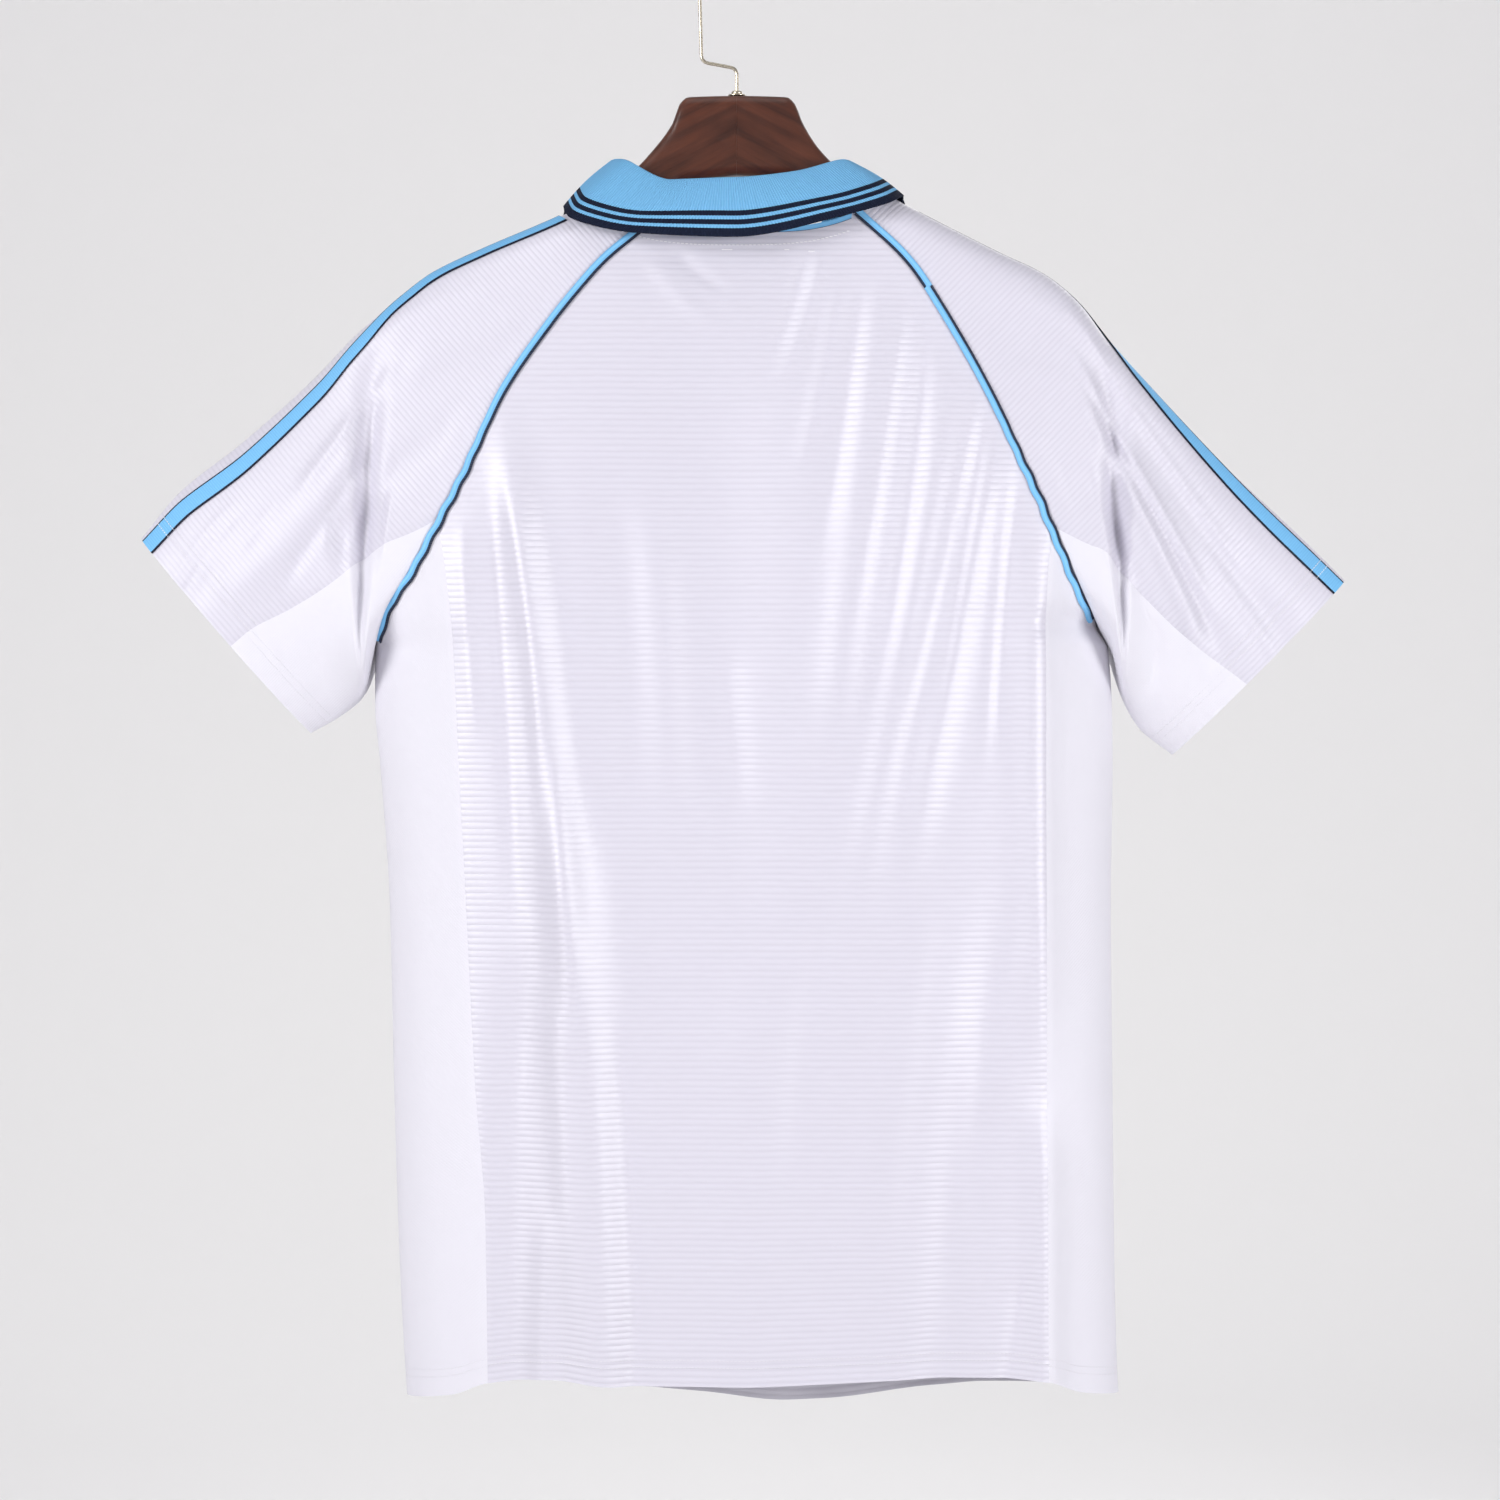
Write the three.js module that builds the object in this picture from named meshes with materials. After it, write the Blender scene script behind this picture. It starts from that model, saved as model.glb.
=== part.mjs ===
// A short-sleeved football jersey on a wooden hanger, in millimetres, +Z up.
// The origin is where the hook's crown rests on whatever it hangs from. The wearer's back faces -Y.
// The cloth is cut as in a raglan jersey: back, front, side panels, sleeves and under-sleeves, each a
// thin wall.
import * as THREE from 'three';

// Cloth
const CLOTH = 1.4; // thickness of the body and sleeve knit, as a wall
const SEAM_TRIM = 0.27; // taken off each piece along a seam, so that two pieces stay apart
const BODY_POWER = 4; // how square a level section of the body is
const SHOULDER_ROUND = 24; // how far below the shoulder line the cloth reaches its full depth
const SLOPE_STEP = 0.4; // over which the surface's slope is measured
const RAISE_TURNS = 6; // corrections made to put a point at a height over the surface

// The body, level by level: its two silhouettes and its half depth. Above the armpits the
// silhouettes are where the sides would be if the sleeves did not start there.
const BODY = table(['z', 'left', 'right', 'depth'], [
  [-905, -202, 239, 43],
  [-880, -204, 237, 44],
  [-803, -208, 235, 47],
  [-710, -211, 234, 49],
  [-586, -214, 233, 50],
  [-500, -220, 234, 50],
  [-465, -223, 233.5, 50],
  [-430, -223, 231, 49],
  [-416, -232, 224, 48.5],
  [-400, -243, 241, 48],
  [-350, -262, 262, 45],
  [-300, -285, 285, 39],
  [-212, -330, 330, 28],
  [-140, -360, 360, 26],
]);

// The line over the shoulders and down the tops of the sleeves, from cuff to cuff.
const SHOULDER = table(['x', 'z'], [
  [-368, -362],
  [-345, -334],
  [-306, -303],
  [-260, -262],
  [-237, -238],
  [-214, -218],
  [-205, -211],
  [-187, -198],
  [-158, -184],
  [-105, -161],
  [-92, -154],
  [0, -112],
  [96, -150],
  [105, -155],
  [164, -185],
  [191, -198],
  [212, -215],
  [231, -240],
  [260, -272],
  [307, -320],
  [355, -365],
  [378, -388],
]);

// The collar seam: it rises to each shoulder point behind, and drops to a V in front.
const NECK = {
  left: -92,
  right: 96,
  backMiddle: -173,
  backCurve: 3,
  vBottom: -246,
  vMiddle: 2,
  vCurve: 1.25,
};

// The two sides of the garment, with their raglan seams from the neck down to the side seam.
const RAGLAN_LEFT = table(['z', 'x'], [
  [-352, -181],
  [-326, -167.5],
  [-292, -150.5],
  [-272, -140.5],
  [-230, -112],
  [-211, -97],
  [-192, -80],
  [-172.5, -56.5],
]);
const RAGLAN_RIGHT = table(['z', 'x'], [
  [-357, 194.5],
  [-336, 186],
  [-298, 167],
  [-255, 145],
  [-221, 125.5],
  [-200, 112],
  [-188, 102],
  [-162.8, 74.5],
]);
// The side seams between the back or front panel and the side panel.
const SIDE_SEAM_LEFT = table(['z', 'x'], [
  [-905, -150.5],
  [-780, -152],
  [-700, -158],
  [-584, -164],
  [-507, -168],
  [-426, -172],
  [-385, -176],
  [-352, -181],
]);
const SIDE_SEAM_RIGHT = table(['z', 'x'], [
  [-905, 191.5],
  [-736, 190.5],
  [-426, 189.5],
  [-382, 191],
  [-357, 194.5],
]);

// Sleeves: the underarm seam from the armpit up to the side seam, the line where the cloth drops from the
// hanger's tip, the underside of the sleeve, and the cuff. The tape's offset is measured behind the top line.
const SIDES = {
  left: {
    sign: -1,
    raglan: RAGLAN_LEFT,
    seam: SIDE_SEAM_LEFT,
    frontNeck: -70,
    underarm: table(['z', 'x'], [
      [-430, -223],
      [-423, -220],
      [-405, -212.5],
      [-382, -197],
      [-363, -187],
      [-352, -181],
    ]),
    tip: [-205, -211],
    ridgeFoot: [-226, -441],
    underSleeve: table(['along', 'x', 'z'], [
      [0, -223, -430],
      [0.15, -225, -444],
      [0.3, -227, -453],
      [0.5, -232, -462],
      [0.75, -246, -473],
      [1, -263, -482.5],
    ]),
    cuffTop: [-368, -362],
    cuffFoot: [-263, -482.5],
    underSeamAtRidge: 0.66,
    underSeamAtCuff: 0.56,
    cuffDepth: 25,
    tape: table(['along', 'offset'], [
      [0, 3],
      [0.3, 3],
      [0.41, 5],
      [0.5, 13],
      [0.7, 17],
      [0.84, 18],
      [1, 11],
    ]),
  },
  right: {
    sign: 1,
    raglan: RAGLAN_RIGHT,
    seam: SIDE_SEAM_RIGHT,
    frontNeck: 74,
    underarm: table(['z', 'x'], [
      [-416, 224],
      [-411, 220.5],
      [-388, 208],
      [-373, 201.5],
      [-365, 198],
      [-357, 194.5],
    ]),
    tip: [212, -215],
    ridgeFoot: [231, -433],
    underSleeve: table(['along', 'x', 'z'], [
      [0, 224, -416],
      [0.15, 234, -436],
      [0.3, 236.5, -449],
      [0.5, 240, -461],
      [0.75, 250, -479],
      [1, 271, -496],
    ]),
    cuffTop: [378, -388],
    cuffFoot: [271, -496],
    underSeamAtRidge: 0.68,
    underSeamAtCuff: 0.6,
    cuffDepth: 26,
    tape: table(['along', 'offset'], [
      [0, -9],
      [0.4, -9],
      [0.51, -5],
      [0.6, 2],
      [0.75, 7],
      [0.91, 12],
      [1, 10],
    ]),
  },
};

// The hem: a little shorter over the back panel, and the front hangs lowest at its middle.
const HEM = {
  back: table(['x', 'z'], [
    [-204, -892],
    [-171, -887],
    [-151, -879.5],
    [-110, -876],
    [-70, -879.5],
    [0, -880],
    [149, -875],
    [191, -878],
    [212, -886],
    [238, -890],
  ]),
  front: table(['x', 'z'], [[-204, -892], [-140, -890], [-22, -898], [35, -904], [155, -891], [238, -890]]),
};

// Folds, each along a path from its top over a middle point to its foot. A trough has a negative height.
const FOLD_COLUMNS = ['xTop', 'zTop', 'xMid', 'zMid', 'xFoot', 'zFoot', 'width', 'height'];
const FOLDS = {
  back: table(FOLD_COLUMNS, [
    [-150, -270, -113, -545, -92, -880, 19, 7],
    [-128, -600, -134, -740, -134, -905, 13, -4],
    [94, -170, 80, -290, 55, -540, 15, 5],
    [140, -235, 103, -430, 66, -640, 14, 5],
    [164, -280, 136, -415, 100, -600, 12, 5],
    [178, -310, 172, -450, 182, -640, 12, 6],
    [168, -560, 140, -735, 122, -905, 16, -5],
    [182, -760, 183, -830, 184, -905, 11, 5],
    [-18, -200, -14, -400, -22, -700, 42, -6],
    [14, -600, 10, -740, 8, -905, 24, 3],
  ]),
  front: table(FOLD_COLUMNS, [
    [-120, -280, -100, -545, -96, -905, 20, 6],
    [-160, -340, -150, -480, -128, -700, 14, 4],
    [128, -270, 112, -480, 86, -720, 16, 5],
    [170, -320, 164, -520, 172, -800, 14, 5],
    [0, -300, 4, -520, -8, -860, 40, -6],
    [60, -560, 52, -720, 44, -905, 18, 4],
    [130, -620, 138, -760, 132, -905, 16, -4],
  ]),
};

// How soon a fold reaches its full height, as a share of its length. One that runs off the hem keeps
// its height.
const FOLD_FADE = { head: 0.25, foot: 0.33, sleeve: 0.25, hem: -880 };

// Sleeve folds, along the sleeve: where around it they start and end (0 is the top line, 1 the underside).
const SLEEVE_FOLD_COLUMNS = ['start', 'end', 'aroundStart', 'aroundEnd', 'width', 'height'];
const SLEEVE_FOLDS = {
  left: table(SLEEVE_FOLD_COLUMNS, [
    [0.34, 0.62, 0.62, 0.5, 0.09, -8],
    [0.4, 0.98, 0.3, 0.42, 0.12, 4],
    [0.7, 1.2, 0.36, 0.3, 0.05, -3],
  ]),
  right: table(SLEEVE_FOLD_COLUMNS, [
    [0.36, 0.9, 0.3, 0.7, 0.06, 5],
    [0.36, 0.8, 0.5, 0.82, 0.06, -6],
    [0.42, 1.1, 0.12, 0.42, 0.09, -4],
  ]),
};

// The ridge where the cloth drops from the hanger's tip: its depth as a share of the body's, and the
// height over which it rounds in at its foot.
const RIDGE = { share: 0.84, footRound: 38 };

// The rest of a sleeve: how far along it the hanger's tip is on its top line and on its underside, its half
// depth outside the tip, how soon it has that, how square its section is, and how its points crowd on a ring.
const SLEEVE = {
  tipAt: 0.41,
  underTipAt: 0.3,
  depth: 34,
  fillsAt: 0.625,
  power: 2.4,
  flat: 0.8,
  crowd: 0.375,
};
const UNDERARM_CROWD = 1.6; // crowds the underarm seam's points towards the armpit

// Grid steps of the cloth walls
const STEPS = {
  across: { back: 28, front: 20 },
  belowJunction: 15,
  raglan: 8,
  neckEdge: 3,
  underarm: 6,
  sleeveInner: 5,
  sleeveOuter: 8,
};

// Trim
const TAPE = { width: 13, thickness: 1, lift: 0.9, columns: 6 };
const PIPING = {
  width: 5.4,
  thickness: 1.1,
  crown: 0.6,
  crownAt: 0.2,
  lift: 0.75,
  ontoSide: 1.05,
  turnsAt: 4,
};
const PIPING_START = { back: 0.35, front: 1 }; // in steps of the raglan seam, below the collar
const ARMPIT_CLEARANCE = 1; // between the side panel and the sleeve cloth tucked against it
const NECK_TAPE = { below: 1.2, width: 4.8, thickness: 0.8, lift: 0.4, columns: 14 };

// Collar, round the neck from one front edge over the back to the other. Angle 90 is the back,
// 0 the right shoulder and 180 the left one. fold: the top of the roll. edge: the leaf's free edge.
const COLLAR = {
  thickness: 1.8,
  roll: 2.6,
  belly: 1.5,
  seamGap: 0.4,
  clearance: 2.2,
  frontGap: 3.5,
  seamCurve: 0.8,
  leafRows: [1, 0.7, 0.4, 0.12],
  standRows: [0.85, 0.45, 0],
  steps: 40,
};
const COLLAR_LINE = table(['angle', 'foldX', 'foldY', 'foldZ', 'edgeX', 'edgeY', 'edgeZ'], [
  [-84, 6, 35, -232, 33, 45, -278],
  [-60, 34, 32, -196, 76, 42, -240],
  [-30, 62, 22, -154, 104, 28, -194],
  [0, 74, 2, -131, 104, 0, -153],
  [25, 68, -20, -131, 97, -28, -161],
  [55, 38, -34, -138, 62, -42, -173],
  [90, -2, -38, -144.5, 0, -46, -181],
  [125, -40, -36, -143, -62, -43, -178.5],
  [155, -68, -22, -132, -100, -30, -171],
  [180, -76, 2, -129, -105.5, 0, -158.5],
  [210, -62, 22, -152, -102, 28, -197],
  [240, -30, 32, -198, -72, 42, -243],
  [264, -2, 35, -234, -30, 45, -280],
]);

// The wooden hanger: two boards that meet at a glued joint in the middle.
const HANGER = { joint: 1, jointGap: 0.3, clearance: 0.65, around: 14, power: 3, tip: 10 };
const BOARD_LEFT = table(['x', 'top', 'bottom', 'half'], [
  [-202.5, -217, -228, 4],
  [-199, -211.5, -234.5, 7],
  [-190, -202, -237.5, 8],
  [-158, -185.5, -232, 9],
  [-110, -165, -207, 10],
  [-92, -158, -194, 10.5],
  [-84, -153, -188, 10.5],
  [-64, -136, -171, 11],
  [-50, -121, -158, 11],
  [-40, -105, -148, 11],
  [-36, -94, -144.5, 11],
  [-31, -90.5, -141, 11],
  [0, -89.5, -134, 11],
]);
const BOARD_RIGHT = table(['x', 'top', 'bottom', 'half'], [
  [2, -89.5, -134, 11],
  [35, -90.5, -138, 11],
  [40, -94, -141, 11],
  [43, -105, -143, 11],
  [52, -121, -150, 11],
  [66, -135, -163, 11],
  [86, -149.5, -181, 10.5],
  [96, -154.5, -188, 10.5],
  [112, -160.5, -200, 10],
  [164, -187, -230, 9],
  [196, -204, -240, 8],
  [206, -214, -238, 7],
  [209.5, -220, -231, 4],
]);

// The wire hook, with a small collar and washer where it enters the wood.
const NUT = {
  seat: -89.2,
  washer: 5.5,
  washerHeight: 0.9,
  radius: 3.4,
  height: 3.2,
  chamfer: 0.8,
  sides: 16,
};
const HOOK = {
  wire: 2.2,
  crownRadius: 22,
  sweep: 186,
  shank: 1.2,
  lowBend: -70.5,
  rise: 4,
  offset: 20.7,
  bend: 4.5,
  gap: 0.3,
  sides: 4,
  crownSteps: 24,
  steps: 52,
};

const FINISH = {
  ribbed: { color: 0xf1eff6, roughness: 0.48 },
  plain: { color: 0xf3f1f8, roughness: 0.75 },
  rib: { color: 0x6aa7d3, roughness: 0.85 },
  tape: { color: 0x64a9dc, roughness: 0.7 },
  wood: { color: 0x45170f, roughness: 0.35 },
  metal: { color: 0xc9bfa8, roughness: 0.3, metalness: 1 },
};

// Small tools

function table(columns, rows) {
  return rows.map((row) => Object.fromEntries(columns.map((name, i) => [name, row[i]])));
}

const mix = (a, b, t) => a + (b - a) * t;
const clamp = (v, low = 0, high = 1) => Math.min(high, Math.max(low, v));
const smooth = (t) => clamp(t) ** 2 * (3 - 2 * clamp(t));

// A smooth curve through one column of a table, with no overshoot and straight ends.
function follow(rows, by, what) {
  const at = rows.map((row) => row[by]);
  const value = rows.map((row) => row[what]);
  const slope = at.slice(1).map((a, i) => (value[i + 1] - value[i]) / (a - at[i]));
  const tangent = value.map((_, i) => {
    if (i === 0) return slope[0];
    if (i === slope.length) return slope[i - 1];
    const product = slope[i - 1] * slope[i];
    return product <= 0 ? 0 : (2 * product) / (slope[i - 1] + slope[i]);
  });
  return (v) => {
    if (v <= at[0]) return value[0] + tangent[0] * (v - at[0]);
    const last = at.length - 1;
    if (v >= at[last]) return value[last] + tangent[last] * (v - at[last]);
    const i = at.findIndex((a) => a > v) - 1;
    const step = at[i + 1] - at[i];
    const t = (v - at[i]) / step;
    const rise = (1 - t) ** 2 * t * step * tangent[i] + t * t * (t - 1) * step * tangent[i + 1];
    return mix(value[i], value[i + 1], t * t * (3 - 2 * t)) + rise;
  };
}

// The body's surface

const bodyLeft = follow(BODY, 'z', 'left');
const bodyRight = follow(BODY, 'z', 'right');
const bodyDepth = follow(BODY, 'z', 'depth');
const shoulderLine = follow(SHOULDER, 'x', 'z');
const FACES = { back: -1, front: 1 };

function foldHeight(folds, x, z) {
  return folds.reduce((sum, fold) => {
    const down = (fold.zTop - z) / (fold.zTop - fold.zFoot);
    if (down < 0 || down > 1) return sum;
    const middle = (fold.zTop - fold.zMid) / (fold.zTop - fold.zFoot);
    const bend = (fold.xMid - mix(fold.xTop, fold.xFoot, middle)) / (middle * (1 - middle));
    const path = mix(fold.xTop, fold.xFoot, down) + bend * down * (1 - down);
    const foot = fold.zFoot < FOLD_FADE.hem ? 1 : smooth((1 - down) / FOLD_FADE.foot);
    const fade = smooth(down / FOLD_FADE.head) * foot;
    return sum + fold.height * fade * Math.exp(-(((x - path) / fold.width) ** 2));
  }, 0);
}

// The square of how full the section is at a point: 1 in its middle, 0 on its silhouettes.
function fullness(x, z) {
  const left = bodyLeft(z);
  const right = bodyRight(z);
  const aside = Math.abs((2 * x - left - right) / (right - left));
  const below = Math.min(1, (shoulderLine(x) - z) / SHOULDER_ROUND);
  return (2 * below - below * below) * (1 - aside ** BODY_POWER);
}

const foldsAt = (x, z, face) => foldHeight(FOLDS[face], x, z) * clamp(fullness(x, z) * 2 - 0.1);

// A point of the body's outside, straight out from the middle plane.
function skin(x, z, face) {
  const depth = bodyDepth(z) * Math.sqrt(Math.max(0, fullness(x, z))) + foldsAt(x, z, face);
  return new THREE.Vector3(x, FACES[face] * depth, z);
}

// The surface's own equation: zero on it and positive outside. Its slope gives the outward direction.
function outside(x, y, z, face) {
  const plain = FACES[face] * y - foldsAt(x, z, face);
  return plain * plain - bodyDepth(z) ** 2 * fullness(x, z);
}

function skinSlope({ x, y, z }, face) {
  return new THREE.Vector3(
    outside(x + SLOPE_STEP, y, z, face) - outside(x - SLOPE_STEP, y, z, face),
    outside(x, y + SLOPE_STEP, z, face) - outside(x, y - SLOPE_STEP, z, face),
    outside(x, y, z + SLOPE_STEP, face) - outside(x, y, z - SLOPE_STEP, face),
  ).divideScalar(2 * SLOPE_STEP);
}

const skinNormal = (point, face) => skinSlope(point, face).normalize();

// Moves a point to a height over the body's outside, or only out as far as that height.
function raised(point, face, height, onlyOut = false) {
  const moved = point.clone();
  for (let i = 0; i < RAISE_TURNS; i += 1) {
    const slope = skinSlope(moved, face);
    const short = height - outside(moved.x, moved.y, moved.z, face) / slope.length();
    if (short > 0 || !onlyOut) moved.addScaledVector(slope.normalize(), short);
  }
  return moved;
}

// The neck seam, seen from behind or in front, by its place across.
function neckline(x, face) {
  const end = x < NECK.vMiddle ? NECK.left : NECK.right;
  const out = clamp((x - NECK.vMiddle) / (end - NECK.vMiddle));
  const top = shoulderLine(end);
  if (face === 'front') return mix(NECK.vBottom, top, out ** NECK.vCurve);
  return mix(NECK.backMiddle, top, out ** NECK.backCurve);
}

// The seams of one side, as points on the body's outside. Each has its outward direction with it.

const seamPoint = (x, z, face) => {
  const point = skin(x, z, face);
  return { point, normal: skinNormal(point, face) };
};

const junction = (side) => ({ x: side.raglan[0].x, z: side.raglan[0].z });
const neckEnd = (side, face) => {
  if (face === 'back') return side.raglan.at(-1);
  return { x: side.frontNeck, z: neckline(side.frontNeck, 'front') };
};

// From the shoulder point down the neck edge to the top of the raglan seam.
function neckEdge(side, face) {
  const start = side.sign < 0 ? NECK.left : NECK.right;
  const end = neckEnd(side, face);
  return Array.from({ length: STEPS.neckEdge + 1 }, (_, i) => {
    const x = mix(start, end.x, (i / STEPS.neckEdge) ** 2);
    const curve = neckline(x, face);
    const slip = end.z - neckline(end.x, face);
    return seamPoint(x, curve + slip * (i / STEPS.neckEdge) ** 2, face);
  });
}

// Down the raglan seam to the side seam. In front it keeps the same line, moved to its own neck end.
function raglanSeam(side, face) {
  const foot = junction(side);
  const end = neckEnd(side, face);
  const line = follow(side.raglan, 'z', 'x');
  const backTop = side.raglan.at(-1);
  return Array.from({ length: STEPS.raglan + 1 }, (_, i) => {
    const up = 1 - i / STEPS.raglan;
    const share = (line(mix(foot.z, backTop.z, up)) - foot.x) / (backTop.x - foot.x);
    return seamPoint(mix(foot.x, end.x, share), mix(foot.z, end.z, up), face);
  });
}

// From the side seam round to the armpit, where back and front meet.
function underarmSeam(side, face) {
  const steps = STEPS.underarm;
  const line = follow(side.underarm, 'z', 'x');
  const foot = side.underarm[0].z;
  const top = side.underarm.at(-1).z;
  return Array.from({ length: steps + 1 }, (_, i) => {
    if (i === steps) {
      return {
        point: new THREE.Vector3(side.underarm[0].x, 0, foot),
        normal: new THREE.Vector3(side.sign, 0, 0),
      };
    }
    const down = 1 - (1 - i / steps) ** UNDERARM_CROWD;
    const z = mix(top, foot, down);
    return seamPoint(line(z), z, face);
  });
}

// Cloth walls

// Moves the edges of a grid in along the cloth, which leaves the seam gap to the next piece.
function trimmed(grid) {
  const rows = grid.length;
  const columns = grid[0].length;
  const pull = (cell, inner) => {
    const step = inner.point.clone().sub(cell.point);
    return step.setLength(SEAM_TRIM);
  };
  return grid.map((row, r) => row.map((cell, c) => {
    const point = cell.point.clone();
    if (c === 0) point.add(pull(cell, row[1]));
    if (c === columns - 1) point.add(pull(cell, row[columns - 2]));
    if (r === 0) point.add(pull(cell, grid[1][c]));
    if (r === rows - 1) point.add(pull(cell, grid[rows - 2][c]));
    return { point, normal: cell.normal };
  }));
}

// A closed wall: the grid outside, the same grid one thickness in, and a rim round both.
function wallGeometry(grid, thickness) {
  const rows = grid.length;
  const columns = grid[0].length;
  const outer = grid.flat().map((cell) => cell.point);
  const inner = grid.flat().map((cell) => cell.point.clone().addScaledVector(cell.normal, -thickness));
  const corner = grid[1][0].point.clone().sub(grid[0][0].point);
  const along = grid[0][1].point.clone().sub(grid[0][0].point);
  const flip = corner.cross(along).dot(grid[0][0].normal) > 0;
  const faces = [];
  const face = (a, b, c) => faces.push(flip ? [a, c, b] : [a, b, c]);
  const quad = (a, b, c, d) => {
    face(a, b, c);
    face(a, c, d);
  };
  const at = (r, c) => r * columns + c;
  const under = rows * columns;
  for (let r = 0; r < rows - 1; r += 1) {
    for (let c = 0; c < columns - 1; c += 1) {
      quad(at(r, c), at(r, c + 1), at(r + 1, c + 1), at(r + 1, c));
      quad(under + at(r, c), under + at(r + 1, c), under + at(r + 1, c + 1), under + at(r, c + 1));
    }
  }
  const rim = [];
  for (let c = 0; c < columns - 1; c += 1) rim.push(at(0, c));
  for (let r = 0; r < rows - 1; r += 1) rim.push(at(r, columns - 1));
  for (let c = columns - 1; c > 0; c -= 1) rim.push(at(rows - 1, c));
  for (let r = rows - 1; r > 0; r -= 1) rim.push(at(r, 0));
  rim.forEach((a, i) => {
    const b = rim[(i + 1) % rim.length];
    quad(a, under + a, under + b, b);
  });
  return solid([...outer, ...inner], faces);
}

function solid(points, faces) {
  const geometry = new THREE.BufferGeometry();
  geometry.setAttribute('position', new THREE.Float32BufferAttribute(points.flatMap((p) => p.toArray()), 3));
  geometry.setIndex(faces.flat());
  geometry.computeVertexNormals();
  return geometry;
}

function piece(name, geometry, finish) {
  const mesh = new THREE.Mesh(geometry, new THREE.MeshStandardMaterial({ name: finish, ...FINISH[finish] }));
  mesh.name = name;
  return mesh;
}

// Back and front panels: rows from the hem to the junctions, then up between the raglan seams.

function sideSeam(side, face, up) {
  const foot = junction(side);
  const line = follow(side.seam, 'z', 'x');
  const hem = follow(HEM[face], 'x', 'z')(line(HEM.back[0].z));
  const z = mix(hem, foot.z, up);
  return seamPoint(line(z), z, face);
}

const hemRows = Array.from({ length: STEPS.belowJunction + 1 }, (_, i) => i / STEPS.belowJunction);

function panel(face) {
  const columns = STEPS.across[face];
  const { left, right } = SIDES;
  const raglan = { left: raglanSeam(left, face).reverse(), right: raglanSeam(right, face).reverse() };
  const hem = follow(HEM[face], 'x', 'z');
  const ends = [neckEnd(left, face), neckEnd(right, face)];
  const slips = ends.map((end) => end.z - neckline(end.x, face));
  const neckRow = (across) => neckline(mix(ends[0].x, ends[1].x, across), face) + mix(...slips, across);
  const rows = hemRows.map((up) => {
    const a = sideSeam(left, face, up);
    const b = sideSeam(right, face, up);
    return Array.from({ length: columns + 1 }, (_, c) => {
      if (c === 0) return a;
      if (c === columns) return b;
      const across = c / columns;
      const x = mix(a.point.x, b.point.x, across);
      const z = mix(hem(x), mix(junction(left).z, junction(right).z, across), up);
      return seamPoint(x, z, face);
    });
  });
  for (let i = 1; i <= STEPS.raglan; i += 1) {
    const a = raglan.left[i];
    const b = raglan.right[i];
    rows.push(Array.from({ length: columns + 1 }, (_, c) => {
      if (c === 0) return a;
      if (c === columns) return b;
      const across = c / columns;
      const x = mix(a.point.x, b.point.x, across);
      const low = mix(junction(left).z, junction(right).z, across);
      return seamPoint(x, mix(low, neckRow(across), i / STEPS.raglan), face);
    }));
  }
  return piece(`${face}_panel`, wallGeometry(trimmed(rows), CLOTH), 'ribbed');
}

// Side panels: round the side from the back seam to the front seam, and up to the underarm seam.

function sideGrid(side) {
  const around = 2 * STEPS.underarm;
  const half = around / 2;
  const tops = [...underarmSeam(side, 'back'), ...underarmSeam(side, 'front').reverse().slice(1)];
  const seamX = follow(side.seam, 'z', 'x');
  // How far round the side a point is: 0 on the silhouette, 1 at the side seam.
  const turn = (x, z) => {
    const centre = (bodyLeft(z) + bodyRight(z)) / 2;
    const out = Math.abs((x - centre) / (bodyRight(z) - centre));
    return Math.acos(clamp(out ** (BODY_POWER / 2)));
  };
  const place = (angle, z) => {
    const centre = (bodyLeft(z) + bodyRight(z)) / 2;
    const reach = bodyRight(z) - centre;
    return centre + side.sign * reach * Math.cos(angle) ** (2 / BODY_POWER);
  };
  const hem = { back: follow(HEM.back, 'x', 'z'), front: follow(HEM.front, 'x', 'z') };
  return hemRows.map((up) => tops.map((top, c) => {
    const face = c <= half ? 'back' : 'front';
    const from = Math.abs(1 - c / half);
    if (c === 0 || c === around) return sideSeam(side, face, up);
    if (up === 1) return top;
    const hemX = place(from * turn(seamX(HEM.back[0].z), HEM.back[0].z), HEM.back[0].z);
    const z = mix(hem[face](hemX), top.point.z, up);
    const share = mix(from, turn(top.point.x, top.point.z) / turn(seamX(top.point.z), top.point.z), up ** 2);
    const angle = share * turn(seamX(z), z);
    if (c === half) {
      const x = side.sign < 0 ? bodyLeft(z) : bodyRight(z);
      return { point: new THREE.Vector3(x, 0, z), normal: new THREE.Vector3(side.sign, 0, 0) };
    }
    return seamPoint(place(angle, z), z, face);
  }));
}

const sidePanel = (name, side) => piece(name, wallGeometry(trimmed(sideGrid(side)), CLOTH), 'plain');

// Sleeves: rings of points from the raglan seam to the cuff, each from the top line round to the underside.

const ringSteps = STEPS.neckEdge + STEPS.raglan + STEPS.underarm;
const sleeveRows = STEPS.sleeveInner + STEPS.sleeveOuter;
const tipRow = STEPS.sleeveInner;

// The share of the way down a ring that each of its points has, with the under-sleeve seam where it belongs.
function shares(seamAt) {
  const seamIndex = STEPS.neckEdge + STEPS.raglan;
  const crowded = (share) => 1 - Math.cos(share * SLEEVE.crowd * Math.PI);
  return Array.from({ length: ringSteps + 1 }, (_, j) => {
    if (j <= seamIndex) return (seamAt * crowded(j / seamIndex)) / crowded(1);
    const under = (j - seamIndex) / STEPS.underarm;
    return mix(seamAt, 1, Math.sin((under * Math.PI) / 2));
  });
}

function topPoint(side, along) {
  const x = mix(side.sign < 0 ? NECK.left : NECK.right, side.cuffTop[0], along);
  return new THREE.Vector2(x, shoulderLine(x));
}

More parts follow.
